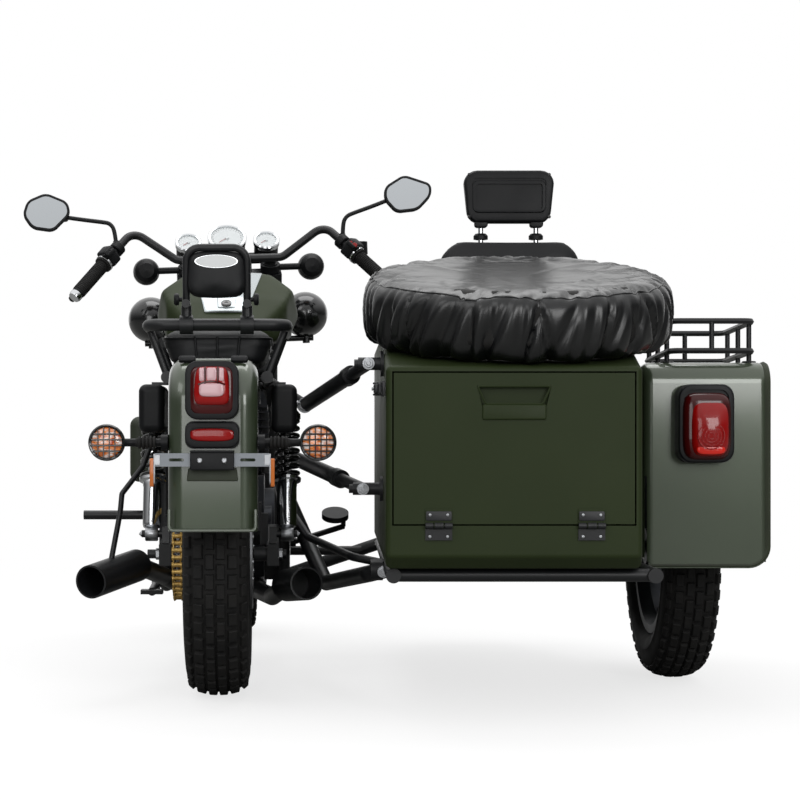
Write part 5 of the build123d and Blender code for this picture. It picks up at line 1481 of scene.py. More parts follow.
def along_bar(side, distance):
    """A point on a grip, so many mm inboard of the bar's end."""
    end = Vector((side * BAR_END[0], *BAR_END[1:]))
    peak = Vector((side * BAR_PEAK[0], *BAR_PEAK[1:]))
    return at(*(end + (peak - end).normalized() * distance))


def bar_way(side):
    """The direction inboard along a grip."""
    return along_bar(side, 100) - along_bar(side, 0)


def steering_piece(name, pieces, finish_name, angle=35, **more):
    """Joins fittings, turns them with the steering to how it is parked, and finishes them as one piece."""
    piece = joined(name, pieces)
    piece.data.transform(steered(Matrix.Identity(4)))
    return finish(piece, finish_name, angle, body="steering", **more)


def outline_slab(name, points, depth, corner, edge=0.0, low=0.0):
    """A slab on Z = low with any convex outline, given in mm, its corners rounded."""
    fresh()
    bpy.ops.mesh.primitive_circle_add(vertices=len(points), radius=1, fill_type="NGON")
    piece = made(name)
    ring = sorted(piece.data.vertices, key=lambda v: math.atan2(v.co.y, v.co.x))
    for vertex, point in zip(ring, sorted(points, key=lambda p: math.atan2(p[1], p[0]))):
        vertex.co = (point[0] / 1000, point[1] / 1000, low)
    choose("VERT", lambda v: True)
    bpy.ops.mesh.bevel(offset=corner, segments=5, affect="VERTICES")
    choose("FACE", lambda face: True)
    bpy.ops.mesh.extrude_region_move(TRANSFORM_OT_translate={"value": (0, 0, depth)})
    if edge:
        soften(edge, 3, lambda line: all(v.co.z > low + depth - 1e-6 for v in line.verts))
    bpy.ops.mesh.select_all(action="SELECT")
    bpy.ops.mesh.normals_make_consistent(inside=False)
    fresh()
    return piece


def mirror_pair(settings):
    """Both mirrors: stem, clamp, ball, six-sided housing and the glass in it."""
    black, glasses = [], []
    for side in (-1, 1):
        outline = MIRROR_OUTLINE[side]
        lift = MIRROR_LIFT[side]
        house = dished(outline_slab("mirror_house", outline, 0.02, 0.014, 0.0035), 0.0035, 0.0026)
        soften(0.009, 4, lambda line: all(v.co.z < 1e-6 for v in line.verts))
        fresh()
        tilt = Matrix.Rotation(settings.mirror_tilt, 4, "X")
        centre = at(side * MIRROR_X, MIRROR_Y, MIRROR_Z + lift)
        place = Matrix.Translation(centre) @ REARWARD @ tilt.inverted()
        house.data.transform(place)
        inner = [(x * 0.935, z * 0.925) for x, z in outline]
        glass = outline_slab("mirror_glass", inner, 0.0012, 0.012, 0.0, 0.0172)
        glass.data.transform(place)
        glasses.append(glass)
        route = ((304, 995, 1086), (306, 1004, 1128), (318, 1011, 1149), (340, 1011.5, 1154 + lift * 0.2),
                 (390, 1011, 1163 + lift * 0.6), (436, 1014, 1173 + lift))
        stem = wire("mirror_stem", [beside(side, point) for point in route], 0.0058, False, 2, 3)
        ball = lathe("ball", [(0.004, -0.012), (0.011, -0.008), (0.0135, 0.0), (0.011, 0.008),
                              (0.004, 0.012)], 20)
        put(ball, beside(side, (438, 1016, 1174 + lift)), (side, 0, 0.2))
        nut = put(hex_nut(0.017, 0.01, 0.012), along_bar(side, 176) + Vector((0, 0.006, 0.012)), (0, 0.3, 1))
        clamp = lathe("clamp", [(0.0115, -0.01), (0.0185, -0.01), (0.02, -0.008), (0.02, 0.008),
                                (0.0185, 0.01), (0.0115, 0.01)], 28, closed=True)
        put(clamp, along_bar(side, 179.2), bar_way(side))
        black += [house, stem, ball, nut, clamp]
    steering_piece("mirror_housings", black, "moulded_black_abs", standing_for=("mirrors",))
    steering_piece("mirror_glasses", glasses, "silvered_glass")


def grip_sleeve(settings):
    """A rubber grip about Z, from its open end at 0 to its flange."""
    profile = [(0.0125, 0.0), (0.0165, 0.001), (0.0178, 0.004)]
    step = 0.106 / settings.grip_ribs
    for rib in range(settings.grip_ribs):
        start = 0.006 + rib * step
        profile += [(0.0173, start), (0.0186, start + step * 0.25), (0.0186, start + step * 0.6),
                    (0.0173, start + step * 0.85)]
    profile += [(0.0178, 0.113), (0.0235, 0.115), (0.0238, 0.119), (0.012, 0.12)]
    return lathe("grip", profile, 28)


def grip_parts(side, settings):
    """One grip, and the bright cap and ring at its two ends."""
    grip = put(grip_sleeve(settings), along_bar(side, -4), bar_way(side))
    end = lathe("bar_end", [(0.008, -0.02), (0.015, -0.017), (0.0172, -0.011), (0.0172, -0.003),
                            (0.015, 0.0)], 28)
    put(end, along_bar(side, -4), bar_way(side))
    ring = lathe("ring", [(0.0232, 0.0), (0.0248, 0.001), (0.0248, 0.005), (0.0232, 0.006)], 36, closed=True)
    put(ring, along_bar(side, 117), bar_way(side))
    return grip, [end, ring]


def switch_parts(side):
    """The black and the coloured parts of one switch housing; only the right one has coloured buttons."""
    turn = facing(bar_way(side))
    house = block("switch_block", (0.04, 0.05, 0.036), (0, 0, 0), 0.007, 3)
    stand(house, along_bar(side, 140) + Vector((0, -0.006, 0.004)), turn)
    rear = block("switch_face", (0.03, 0.012, 0.028), (0, 0, 0), 0.003, 2)
    stand(rear, along_bar(side, 140) + Vector((0, -0.032, 0.01)), turn)
    button = lathe("button", [(0.007, 0.0), (0.007, 0.006), (0.0055, 0.008)], 20)
    put(button, along_bar(side, 134) + Vector((0, -0.036, 0.012)), (0, -1, 0.35))
    if side > 0:
        second = lathe("button", [(0.005, 0.0), (0.005, 0.005), (0.004, 0.0065)], 20)
        put(second, along_bar(side, 150) + Vector((0, -0.036, 0.01)), (0, -1, 0.35))
        return [house, rear], [button, second]
    toggle = block("toggle", (0.008, 0.012, 0.008), (0, 0, 0), 0.002, 1)
    moved(toggle, *(along_bar(side, 150) + Vector((0, -0.04, 0.01))))
    return [house, rear, button, toggle], []


def lever_parts(side):
    """The ball at a lever's tip and the nut on its pivot."""
    pivot = along_bar(side, 140) + Vector((0, 0.034, 0))
    tip = along_bar(side, -30) + Vector((0, 0.062, 0.008))
    ball = lathe("lever_ball", [(0.003, -0.008), (0.0085, -0.005), (0.01, 0.0), (0.0085, 0.005),
                                (0.003, 0.008)], 20)
    nut = hex_nut(0.012, 0.005, 0.006)
    return put(ball, tip, tip - pivot), put(nut, pivot + Vector((0, 0, 0.0075)))


def bar_controls(settings):
    """Grips, bar ends, switch housings with their buttons, and the levers' balls and pivots."""
    grips, bright, blocks, buttons = [], [], [], []
    for side in (-1, 1):
        grip, caps = grip_parts(side, settings)
        black, coloured = switch_parts(side)
        ball, nut = lever_parts(side)
        grips.append(grip)
        bright += [*caps, nut]
        blocks += [*black, ball]
        buttons += coloured
    steering_piece("grip_sleeves", grips, "vulcanised_rubber", 40)
    steering_piece("control_bright_parts", bright, "chrome_plate")
    steering_piece("switch_blocks", blocks, "moulded_black_abs")
    steering_piece("switch_buttons", buttons, "red_lens", slot="black_plastic")


def gauge_faces():
    """Chrome rings, dials with plain ticks, needles and glasses on the three gauges."""
    rings, dials, ticks, needles = [], [], [], []
    tilt = Matrix.Rotation(GAUGE_TILT, 4, "X")
    for index, (centre, radius, half) in enumerate(GAUGES):
        r = radius / 1000
        top = (half + 7) / 1000
        place = Matrix.Translation(at(*centre)) @ tilt
        ring = lathe("ring", [(r - 0.005, top), (r + 0.001, top - 0.009), (r + 0.0032, top - 0.009),
                              (r + 0.004, top - 0.004), (r + 0.0034, top + 0.003),
                              (r + 0.0005, top + 0.0055), (r - 0.0035, top + 0.0045)], 48, closed=True)
        dial = lathe("dial", [(r - 0.003, top), (r - 0.003, top + 0.001), (0.001, top + 0.0011)], 40)
        hub = lathe("hub", [(r * 0.12, top), (r * 0.12, top + 0.0034), (r * 0.08, top + 0.0042)], 20)
        count = 25 if index == 0 else 13
        for step in range(count):
            long = step % 4 == 0
            tick = block("tick", (0.001, r * (0.14 if long else 0.08), 0.0004), (0, r * 0.80, top + 0.0012))
            tick.data.transform(Matrix.Rotation(math.radians(130 - 260 * step / (count - 1)), 4, "Z"))
            ticks.append(tick)
        needle = block("needle", (0.0014, r * 0.62, 0.001), (0, r * 0.27, top + 0.003), 0.0004, 1)
        needle.data.transform(Matrix.Rotation(math.radians(128), 4, "Z"))
        for piece in (ring, dial, hub, needle, *ticks[-count:]):
            piece.data.transform(place)
        rings.append(ring)
        dials += [dial, hub]
        needles.append(needle)
    steering_piece("gauge_rings", rings, "chrome_plate")
    steering_piece("gauge_dials", dials, "printed_dial")
    steering_piece("gauge_ticks", ticks, "gloss_black_lacquer", slot="black_plastic")
    steering_piece("gauge_needles", needles, "red_lens", slot="black_plastic")


def front_lamp(name, place, radius):
    """A round lamp's chromed rim and its domed lens."""
    rim = lathe(name + "_rim", [(radius - 0.006, -0.002), (radius + 0.0005, -0.004), (radius + 0.002, 0.0),
                                (radius + 0.001, 0.006), (radius - 0.004, 0.0085), (radius - 0.0075, 0.004)],
                56, closed=True)
    glass = lathe(name + "_glass", [(radius - 0.006, 0.001), (radius - 0.008, 0.004), (radius * 0.72, 0.0085),
                                    (radius * 0.40, 0.011), (radius * 0.10, 0.0118)], 48)
    return stand(rim, place, FORWARD), stand(glass, place, FORWARD)


# Half profile of a lamp shell from its back, as (radius, distance ahead of its middle) in mm
DOME_ROW = ((3, -66.4), (15, -65), (27, -61.2), (38, -54.6), (47, -46), (54, -35.5), (59, -23), (62, -10),
            (62.9, 0), (62.9, 15.5), (61, 18))


# The top fork clamp's height in mm, and from it, along the steering, the lamps' bar and the signals
CLAMP_Z = 965
LAMP_BAR_AHEAD = 76.3
LAMP_BAR_DROP = 186
# How far out and how high each spot lamp is, in mm
SPOT_X, SPOT_Z = 215, 900
# The headlamp's front in mm, and the radii of the headlamp and the spot lamps in metres
HEADLAMP_FACE = (0, 1421, 868)
HEADLAMP_RADIUS, SPOT_RADIUS = 0.088, 0.058
SIGNAL_RISE = 43
SIGNAL_X = 225


def lamp_domes(bar_y):
    """Smooth pressed shells over the spot lamps' backs."""
    domes = []
    for side in (-1, 1):
        dome = lathe("dome", [(r / 1000, along / 1000) for r, along in DOME_ROW], 56)
        stand(dome, beside(side, (SPOT_X, bar_y, SPOT_Z)), FORWARD)
        domes.append(dome)
    steering_piece("spot_lamp_domes", domes, "gloss_black_lacquer", 60)


def front_lamps(settings):
    """Rims and lenses of the headlamp and the two spot lamps, and the front signals' faces."""
    rims, lenses = [], []
    rim, glass = front_lamp("headlamp", at(*HEADLAMP_FACE), HEADLAMP_RADIUS)
    rims.append(rim)
    lenses.append(glass)
    top_up = (CLAMP_Z - STEER_FOOT.z) / math.cos(RAKE)
    bar = STEER_FOOT + LAMP_BAR_AHEAD * STEER_AHEAD + (top_up - LAMP_BAR_DROP) * STEER_UP
    for side in (-1, 1):
        rim, glass = front_lamp("spot", beside(side, (SPOT_X, bar.y + 22, SPOT_Z)), SPOT_RADIUS)
        rims.append(rim)
        lenses.append(glass)
    lamp_domes(bar.y)
    steering_piece("front_lamp_rims", rims, "chrome_plate")
    steering_piece("front_lamp_glasses", lenses, "clear_lens")
    leg = STEER_FOOT + FORK_OFFSET * STEER_AHEAD + (top_up + SIGNAL_RISE) * STEER_UP
    for side, word in ((-1, "left"), (1, "right")):
        place = steered(Matrix.Translation(beside(side, (SIGNAL_X, leg.y + 17, leg.z)))) @ FORWARD
        signal_face("front_signal_" + word, place, "steering", settings)


class MOTORCYCLE_OT_steering_fittings(bpy.types.Operator):
    """Model the mirrors, grips, switches, gauges and front lamps"""
    bl_idname = "motorcycle.steering_fittings"
    bl_label = "Steering fittings"

    def execute(self, context):
        mirror_pair(context.scene.motorcycle_steering)
        bar_controls(context.scene.motorcycle_steering)
        gauge_faces()
        front_lamps(context.scene.motorcycle_lamps)
        return {"FINISHED"}


# ------------------------------------------------------------------ body trim and hardware
class TrimSettings(bpy.types.PropertyGroup):
    """Sizes of the body's small trim."""
    rack_radius: FloatProperty(name="Rack tube", description="Radius of the fender rack's tubes",
                               default=0.0068, min=0.004, max=0.009, unit="LENGTH")
    bead_radius: FloatProperty(name="Bead", description="Radius of the rolled edges", default=0.007,
                               min=0.002, max=0.01, unit="LENGTH")


def ring_path(corners, bend, steps=5):
    """A closed path, in mm, through corner points, each corner rounded by a quadratic curve."""
    path = []
    count = len(corners)
    for index in range(count):
        here = Vector(corners[index])
        before = (Vector(corners[index - 1]) - here).normalized()
        after = (Vector(corners[(index + 1) % count]) - here).normalized()
        start, end = here + before * bend, here + after * bend
        for step in range(steps + 1):
            share = step / steps
            path.append(start * (1 - share) ** 2 + here * 2 * share * (1 - share) + end * share ** 2)
    return [at(*point) for point in path]


def open_path(corners, bend, steps=5):
    """An open path, in mm, whose inner corners are rounded."""
    closed = ring_path(corners, bend, steps)
    return [at(*corners[0]), *closed[steps + 1:-(steps + 1)], at(*corners[-1])]


RACK_LEFT, RACK_RIGHT = 972, 1150
RACK_REAR, RACK_FRONT = -92, 200


# The sidecar fender's sloping top, from its rear to its front, as (y, z) in mm
FENDER_TOP = ((-120, 726), (560, 698))


def rack_height(y, lift):
    """Height of the rack, which follows the fender's sloping top, in mm."""
    (rear_y, rear_z), (front_y, front_z) = FENDER_TOP
    return rear_z + (y - rear_y) * (front_z - rear_z) / (front_y - rear_y) + lift


def fender_rack(settings):
    """The luggage rack on the sidecar fender: two closed rails, and posts with feet."""
    tubes = []
    for lift in (24, 88):
        corners = [(RACK_LEFT, RACK_REAR, rack_height(RACK_REAR, lift)),
                   (RACK_RIGHT, RACK_REAR, rack_height(RACK_REAR, lift)),
                   (RACK_RIGHT, RACK_FRONT, rack_height(RACK_FRONT, lift)),
                   (RACK_LEFT, RACK_FRONT, rack_height(RACK_FRONT, lift))]
        tubes.append(wire("rail", ring_path(corners, 24, 6), settings.rack_radius))
    middle_x = (RACK_LEFT + RACK_RIGHT) / 2
    posts = [(x, y) for x in (RACK_LEFT, RACK_RIGHT) for y in (RACK_REAR + 40, 54, RACK_FRONT - 40)]
    posts += [(middle_x, RACK_REAR), (middle_x, RACK_FRONT)]
    for x, y in posts:
        foot = rack_height(y, 0.8 if y not in (RACK_REAR, RACK_FRONT) else 24) / 1000
        top = rack_height(y, 88) / 1000
        post = lathe("post", [(0.0055, 0.0), (0.0055, top - foot)], 16)
        tubes.append(put(post, at(x, y, foot * 1000)))
        if y not in (RACK_REAR, RACK_FRONT):
            flange = lathe("foot", [(0.006, 0.0), (0.015, 0.0004), (0.0155, 0.0028), (0.013, 0.004),
                                    (0.006, 0.0046)], 24)
            tubes.append(put(flange, at(x, y, foot * 1000)))
    finish(joined("luggage_rack", tubes), "black_powder_coat", 35, standing_for=("fender_rack",))


def rolled_edges(settings):
    """Rolled beads on the sidecar fender's and the rear fender's free edges."""
    low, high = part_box("sidecar_fender")
    left, right, back, foot, top = low.x, high.x, low.y, low.z, high.z
    sink = 0.005
    sweep, crown = 0.046, 0.046
    edge_x, edge_y = right - sink, back + sink
    centre = Vector((right - sweep, edge_y, foot + sweep))
    arc = [centre + Vector((math.sin(angle), 0, -math.cos(angle))) * (sweep - sink)
           for angle in (math.radians(10 * step) for step in range(10))]
    hub = Vector((edge_x, back + crown, top - crown))
    over = [hub + Vector((0, -math.cos(angle), math.sin(angle))) * (crown - sink)
            for angle in (math.radians(10 * step) for step in range(10))]
    length = 0.56
    front = edge_y + length
    fall = (rack_height(0, 0) - rack_height(length * 1000, 0)) / 1000
    run = [Vector((left + 0.028, edge_y, foot + sink)), *arc, *over,
           Vector((edge_x, front, top - sink - fall))]
    bead = wire("fender_bead", run, settings.bead_radius, cyclic=False)
    half = 85
    lip = [(-half, -462, 420), (-half, -463, 379), (half, -463, 379), (half, -462, 420)]
    rear_lip = wire("rear_fender_lip", open_path(lip, 9, 5), 0.0036, cyclic=False)
    finish(bead, "dark_olive_enamel", 50)
    rear_lip.name = "rear_fender_lip"
    finish(rear_lip, "gloss_olive_enamel", 50)


GATE_CENTRE_X = 586.5
GATE_FACE = -530
HINGE_Y = -536.3
HINGE_XS = (440, 736)
LEAF_SCREW_XS = [x + dx for x in HINGE_XS for dx in (-17, 17)]


def tailgate_trim():
    """The pull in the tailgate's recess, its raised rim, and the screws of both leaves."""
    rim = [(-71, 33), (71, 33), (55.5, -1), (-55.5, -1)]
    corners = [(GATE_CENTRE_X + x, GATE_FACE - 0.5, 628 + z) for x, z in rim]
    bead = wire("recess_rim", ring_path(corners, 5, 4), 0.0021)
    ledge = slab("pull", 0.124, 0.03, 0.016, 0.004, 0.003)
    stand(ledge, at(GATE_CENTRE_X, GATE_FACE + 12, 611), REARWARD)
    pull = joined("tailgate_pull", [bead, ledge])
    finish(pull, "olive_enamel", 40, body="tailgate")
    leaves = [stand(slab("upper_leaf", 0.05, 0.0185, 0.0024, 0.003, 0.0008), at(x, GATE_FACE - 3.0, 410),
                    REARWARD) for x in HINGE_XS]
    finish(joined("tailgate_leaves", leaves), "black_powder_coat", 35, body="tailgate")
    upper = [(at(x, GATE_FACE - 5.2, 412), (0, -1, 0)) for x in LEAF_SCREW_XS]
    hardware("upper_leaf_screws", round_screw(0.0031, 0.0018), upper, "tailgate")
    lower = [(at(x, GATE_FACE - 3.2, 370), (0, -1, 0)) for x in LEAF_SCREW_XS]
    hardware("lower_leaf_screws", round_screw(0.0031, 0.0018), lower, "chassis")
    sleeves = []
    for x in HINGE_XS:
        sleeve = lathe("sleeve", [(0.0061, -0.0088), (0.0067, -0.0084), (0.0067, -0.0032), (0.0062, -0.0028),
                                  (0.0062, 0.0028), (0.0067, 0.0032), (0.0067, 0.0084), (0.0061, 0.0088)],
                       24, closed=True)
        sleeves.append(put(sleeve, at(x, HINGE_Y, 391), (1, 0, 0)))
    finish(joined("hinge_sleeves", sleeves), "black_powder_coat", 35, body="tailgate")


def toggle_latch():
    """The over-centre latch that pulls the tailgate shut, on the body's left wall."""
    base = block("latch_base", (0.006, 0.05, 0.03), at(334, -492, 657), 0.0015, 2)
    ears = [block("latch_ear", (0.02, 0.01, 0.004), at(325, -480, 657 + z), 0.001, 1) for z in (-11, 11)]
    lever = block("latch_lever", (0.01, 0.05, 0.018), at(321, -500, 657), 0.003, 2)
    hook = block("latch_hook", (0.006, 0.016, 0.02), at(326, -524, 657), 0.0015, 1)
    finish(joined("toggle_latch", [base, *ears, lever, hook]), "black_powder_coat", 35)
    pins = [(at(314.5, -480, 657), (-1, 0, 0)), (at(314.5, -515, 657), (-1, 0, 0))]
    hardware("latch_pins", round_screw(0.0036, 0.002), pins, "chassis")


# Nuts and bolts as (place in mm, facing, size across the flats in mm)
NUTS = (
    ((190, 170, 636), (0, -1, 0), 24), ((312, -352, 712), (0, -1, 0), 17), ((304, -272, 456), (0, -1, 0), 17),
    ((-128, 0, 307), (-1, 0, 0), 22), ((128, 0, 307), (1, 0, 0), 22),
    ((350, -194, 280), (0, -1, 0), 17),
)


# The right knob on the backrest's frame and the right pad on the fender, in mm
KNOB = (72, -196, 852)
FENDER_PAD = (52, -408, 716)
FENDER_LEAN = Matrix.Rotation(math.radians(52), 4, "X")


def loose_hardware():
    """The axle nuts and strut bolts, and the knobs and pads of the backrest's frame."""
    nuts = []
    for place, way, across in NUTS:
        size = across / 1000
        nuts.append(put(hex_nut(size, size * 0.45, size * 0.55), at(*place), way))
    finish(joined("frame_nuts", nuts), "zinc_plated_steel", 35)
    knobs = []
    for side in (-1, 1):
        knob = lathe("knob", [(0.005, 0.0), (0.005, 0.006), (0.012, 0.007), (0.013, 0.013), (0.0105, 0.017)],
                     18)
        knobs.append(put(knob, beside(side, KNOB), (side, 0, 0)))
    for side in (-1, 1):
        pad = slab("fender_pad", 0.034, 0.014, 0.008, 0.005, 0.003)
        knobs.append(stand(pad, beside(side, FENDER_PAD), FENDER_LEAN))
    finish(joined("backrest_knobs", knobs), "moulded_black_abs", 35)


def tank_shell():
    """The fuel tank's pressed shell: the node's form with its creases softened, as a press leaves them."""
    fresh()
    shell = bpy.data.objects.new("tank_shell", NODES["fuel_tank"].data.copy())
    bpy.context.collection.objects.link(shell)
    shell.data.materials.clear()
    only(shell)
    modify(shell, "WELD", merge_threshold=0.0001)
    modify(shell, "REMESH", mode="VOXEL", voxel_size=0.006)
    modify(shell, "SMOOTH", factor=0.5, iterations=26)
    finish(shell, "olive_enamel", 70, standing_for=("fuel_tank",))


# Top line of the tank's rear slope, as (y, z) in mm
TANK_SLOPE = ((600, 868), (650, 912), (725, 948.5), (800, 985))


def on_slope(share, lift):
    """A place on the tank's rear slope: its share of the way up, and its lift off the shell, in mm."""
    reach = share * (len(TANK_SLOPE) - 1)
    index = min(int(reach), len(TANK_SLOPE) - 2)
    (y0, z0), (y1, z1) = TANK_SLOPE[index], TANK_SLOPE[index + 1]
    part = reach - index
    along = Vector((0, y1 - y0, z1 - z0)).normalized()
    return Vector((0, y0 + (y1 - y0) * part, z0 + (z1 - z0) * part)) + Vector((0, -along.z, along.y)) * lift


def slope_plate(name, low_width, high_width, start, end, lift, crown):
    """A plate that follows the tank's slope and widens upwards; sizes in mm, start and end as shares."""
    fresh()
    bpy.ops.mesh.primitive_grid_add(x_subdivisions=12, y_subdivisions=18, size=2)
    plate = made(name)
    for vertex in plate.data.vertices:
        share = (vertex.co.y + 1) / 2
        width = low_width + (high_width - low_width) * share
        rise = lift + crown * (1 - vertex.co.x ** 2)
        place = on_slope(start + (end - start) * share, rise)
        vertex.co = at(vertex.co.x * width / 2, place.y, place.z)
    modify(plate, "SOLIDIFY", thickness=0.006, offset=-1)
    modify(plate, "BEVEL", width=0.0016, segments=2, limit_method="ANGLE", angle_limit=math.radians(40))
    return plate


def tank_console():
    """The silver console up the tank's rear slope, with its raised spine, lock and filler cap."""
    plate = slope_plate("console", 108, 176, 0.04, 1.0, 3.5, 3.0)
    spine = slope_plate("spine", 44, 66, 0.10, 0.97, 7.0, 2.5)
    finish(joined("tank_console", [plate, spine]), "silver_lacquer", 35)
    for name, share, profile, finish_name, slot in (
        ("lock", 0.17, [(0.013, -0.004), (0.013, 0.0015), (0.0115, 0.0025), (0.0045, 0.0025),
                        (0.004, 0.001)], "gloss_black_lacquer", "black_plastic"),
        ("cap", 0.72, [(0.029, -0.004), (0.03, 0.011), (0.028, 0.017), (0.022, 0.019), (0.004, 0.0195)],
         "chrome_plate", "chrome"),
    ):
        here, above = on_slope(share, 10), on_slope(share, 11)
        piece = put(lathe("tank_" + name, profile, 36), at(*here), above - here)
        piece.name = "tank_" + name
        finish(piece, finish_name, 35, slot=slot)


DISC_BOLTS = 6
BOLT_CIRCLE = 0.055  # Radius of the bolts' circle on a brake disc, in metres


def wheel_hardware():
    """The brake discs' bolts, which turn with the wheels."""
    for node, disc in (("rear_wheel", "rear_brake_disc"), ("front_wheel", "front_brake_disc")):
        low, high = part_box(disc)
        centre = middle(node)
        face = high.x if abs(high.x - centre.x) > abs(low.x - centre.x) else low.x
        side = 1 if face > centre.x else -1
        places = []
        for index in range(DISC_BOLTS):
            angle = math.radians(360 / DISC_BOLTS * index + 15)
            reach = Vector((0, math.cos(angle), math.sin(angle))) * BOLT_CIRCLE
            places.append((centre + Vector(((face - centre.x) * 0.98, *reach.yz)), (side, 0, 0)))
        hardware(node + "_disc_bolts", round_screw(0.0065, 0.0042), places, node)


class MOTORCYCLE_OT_trim(bpy.types.Operator):
    """Model the rack, edges, latch, tailgate trim, console and loose hardware"""
    bl_idname = "motorcycle.trim"
    bl_label = "Trim and hardware"

    def execute(self, context):
        settings = context.scene.motorcycle_trim
        fender_rack(settings)
        rolled_edges(settings)
        tailgate_trim()
        toggle_latch()
        loose_hardware()
        tank_shell()
        tank_console()
        wheel_hardware()
        return {"FINISHED"}


# ------------------------------------------------------------------ stage
class StageSettings(bpy.types.PropertyGroup):
    """Where the camera stands and how bright the studio is."""
    lens: FloatProperty(name="Lens", description="Focal length of the camera", default=92.3, min=20, max=300)
    lamp_level: FloatProperty(name="Lamp level", description="Share of the studio lamps' full power",
                              default=1.0, min=0.1, max=3)
    horizon_level: FloatProperty(name="Horizon level",
                                 description="Strength of the air's light at the horizon", default=0.10,
                                 min=0, max=1)
    zenith_level: FloatProperty(name="Zenith level", description="Strength of the air's light from overhead",
                                default=1.10, min=0, max=4)
    ahead_level: FloatProperty(name="Level ahead",
                               description="Strength of the air's light from ahead of the bike", default=1.0,
                               min=0, max=4)


STUDIO_MIDDLE = (0.0, -0.2, 0.5)
# Each soft lamp: name, place, what it looks at, size in metres and full power in watts
STUDIO_LAMPS = (
    ("key_lamp", (-2.6, -3.6, 3.4), STUDIO_MIDDLE, (2.2, 1.6), 22),
    ("left_softbox", (-1.10, -5.2, 1.38), (-0.8, -0.2, 1.0), (2.0, 2.0), 42),
    ("right_softbox", (2.00, -5.2, 1.72), (1.5, -0.2, 1.2), (1.4, 2.0), 64),
    ("top_lamp", (0.0, 0.6, 4.2), STUDIO_MIDDLE, (3.0, 2.0), 55),
)
# The camera's place in mm, and how far its frame is shifted, as shares of the frame's width
CAMERA_PLACE = (129, -4500, 557)
CAMERA_SHIFT = (0.1525, 0.05)


def soft_lamp(name, place, target, size, power):
    """A large soft studio lamp that looks at a point."""
    fresh()
    aim = (Vector(target) - Vector(place)).to_track_quat("-Z", "Y").to_euler()
    bpy.ops.object.light_add(type="AREA", location=place, rotation=aim)
    lamp = bpy.context.view_layer.objects.active
    lamp.name = name
    lamp.data.shape = "RECTANGLE"
    lamp.data.size, lamp.data.size_y = size
    lamp.data.energy = power
    return lamp


def floor_paint():
    """Pale matt floor paint. The camera sees it near white, with the shadow kept faint, and fading
    into the white air 2 to 6 m out, so that no edge shows. Other rays find a darker floor."""
    material, tree, shading, place = begin("matt_floor_paint", "8a8a88", Roughness=0.9)
    shading.inputs["Specular IOR Level"].default_value = 0.0
    shown = add(tree, "BsdfDiffuse", {"Color": (0.95, 0.95, 0.95, 1)})
    reach = add(tree, "VectorMath", {0: place}, operation="LENGTH")
    share = add(tree, "MapRange", {"Value": reach.outputs["Value"], "From Min": 1.2, "From Max": 4.5,
                                   "To Min": 0.74}, interpolation_type="SMOOTHSTEP")
    air = add(tree, "Emission", {"Color": (1, 1, 1, 1), "Strength": 1.0})
    pale = add(tree, "MixShader", {"Fac": share.outputs["Result"], 1: shown.outputs["BSDF"],
                                   2: air.outputs["Emission"]})
    ray = add(tree, "LightPath")
    mixed = add(tree, "MixShader", {"Fac": ray.outputs["Is Camera Ray"], 1: shading.outputs["BSDF"],
                                    2: pale.outputs["Shader"]})
    tree.links.new(mixed.outputs["Shader"], tree.nodes["Material Output"].inputs["Surface"])
    return material


def studio_air(settings):
    """White to the camera and through glass. All other rays find it dark at the horizon behind the
    camera, and bright overhead and beyond the bike."""
    world = bpy.data.worlds.new("studio_air")
    world.use_nodes = True
    tree = world.node_tree
    way = add(tree, "TexCoord").outputs["Generated"]
    parts = add(tree, "SeparateXYZ", {"Vector": way})
    height = parts.outputs["Z"]
    dome = add(tree, "MapRange", {"Value": height, "From Min": 0.04, "From Max": 0.75,
                                  "To Min": settings.horizon_level, "To Max": settings.zenith_level},
               interpolation_type="SMOOTHSTEP")
    ahead = add(tree, "MapRange", {"Value": parts.outputs["Y"], "From Min": 0.55, "From Max": 0.95,
                                   "To Min": 0.0, "To Max": settings.ahead_level},
                interpolation_type="SMOOTHSTEP")
    dome = add(tree, "Math", {0: dome.outputs["Result"], 1: ahead.outputs["Result"]}, operation="MAXIMUM")
    ray = add(tree, "LightPath")
    seen = add(tree, "Math", {0: ray.outputs["Is Camera Ray"], 1: ray.outputs["Is Transmission Ray"]},
               operation="MAXIMUM")
    rest = add(tree, "Math", {0: 1.0, 1: seen.outputs["Value"]}, operation="SUBTRACT")
    lit = add(tree, "Math", {0: dome.outputs["Value"], 1: rest.outputs["Value"]}, operation="MULTIPLY")
    level = add(tree, "Math", {0: lit.outputs["Value"], 1: seen.outputs["Value"]}, operation="ADD")
    tree.links.new(level.outputs["Value"], tree.nodes["Background"].inputs["Strength"])
    tree.nodes["Background"].inputs["Color"].default_value = (1, 1, 1, 1)
    return world


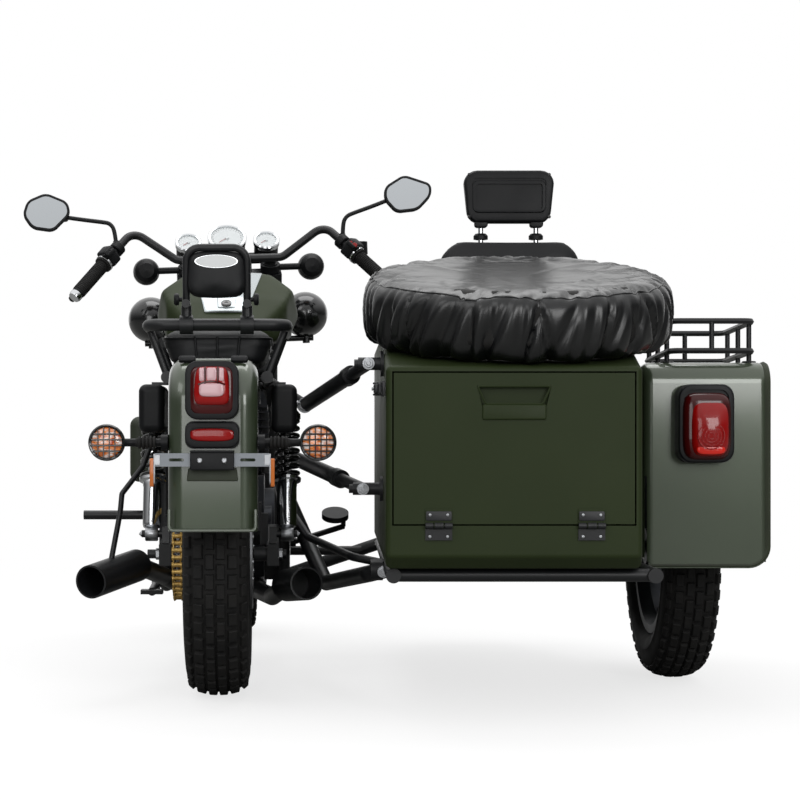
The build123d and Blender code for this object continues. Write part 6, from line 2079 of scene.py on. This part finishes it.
class MOTORCYCLE_OT_stage(bpy.types.Operator):
    """Set the pale floor, the studio lamps and the camera"""
    bl_idname = "motorcycle.stage"
    bl_label = "Stage"

    def execute(self, context):
        settings = context.scene.motorcycle_stage
        scene = context.scene
        scene.view_settings.view_transform = "Standard"
        floor_z = CAD_BOX[0][2]
        fresh()
        bpy.ops.mesh.primitive_plane_add(size=60, location=(0, 20, floor_z))
        floor = made("studio_floor")
        floor.data.materials.append(floor_paint())
        scene.world = studio_air(settings)
        for name, place, target, size, power in STUDIO_LAMPS:
            soft_lamp(name, place, target, size, power * settings.lamp_level)
        bpy.ops.object.camera_add(location=at(*CAMERA_PLACE), rotation=(math.radians(90), 0, 0))
        camera = bpy.context.view_layer.objects.active
        camera.name = "studio_camera"
        camera.data.sensor_width = 36
        camera.data.lens = settings.lens
        camera.data.shift_x, camera.data.shift_y = CAMERA_SHIFT
        camera.data.clip_end = 200
        scene.camera = camera
        return {"FINISHED"}


# ------------------------------------------------------------------ add-on
SETTINGS = {
    "motorcycle_tyres": TyreSettings,
    "motorcycle_lamps": LampSettings,
    "motorcycle_upholstery": UpholsterySettings,
    "motorcycle_cover": CoverSettings,
    "motorcycle_steering": SteeringSettings,
    "motorcycle_trim": TrimSettings,
    "motorcycle_stage": StageSettings,
}
OPERATORS = (
    MOTORCYCLE_OT_finishes,
    MOTORCYCLE_OT_tyres,
    MOTORCYCLE_OT_running_gear,
    MOTORCYCLE_OT_rear_lamps,
    MOTORCYCLE_OT_upholstery,
    MOTORCYCLE_OT_spare_cover,
    MOTORCYCLE_OT_steering_fittings,
    MOTORCYCLE_OT_trim,
    MOTORCYCLE_OT_stage,
)


class MOTORCYCLE_PT_pieces(bpy.types.Panel):
    """Lists the pieces in the order in which they are made"""
    bl_idname = "MOTORCYCLE_PT_pieces"
    bl_label = "Sidecar motorcycle"
    bl_space_type = "VIEW_3D"
    bl_region_type = "UI"
    bl_category = "Motorcycle"

    def draw(self, context):
        for operator in OPERATORS:
            self.layout.operator(operator.bl_idname)
        for name, group in SETTINGS.items():
            box = self.layout.box()
            for field in group.__annotations__:
                box.prop(getattr(context.scene, name), field)


def register():
    """Registers the settings, the operators and the panel."""
    for name, group in SETTINGS.items():
        bpy.utils.register_class(group)
        setattr(bpy.types.Scene, name, PointerProperty(type=group))
    for operator in (*OPERATORS, MOTORCYCLE_PT_pieces):
        bpy.utils.register_class(operator)


def unregister():
    """Takes away everything that register() added."""
    for operator in reversed((*OPERATORS, MOTORCYCLE_PT_pieces)):
        bpy.utils.unregister_class(operator)
    for name, group in SETTINGS.items():
        delattr(bpy.types.Scene, name)
        bpy.utils.unregister_class(group)


def main():
    """Makes every piece in order."""
    register()
    for operator in OPERATORS:
        category, call = operator.bl_idname.split(".")
        getattr(getattr(bpy.ops, category), call)()
    fresh()


if __name__ == "__main__":
    main()
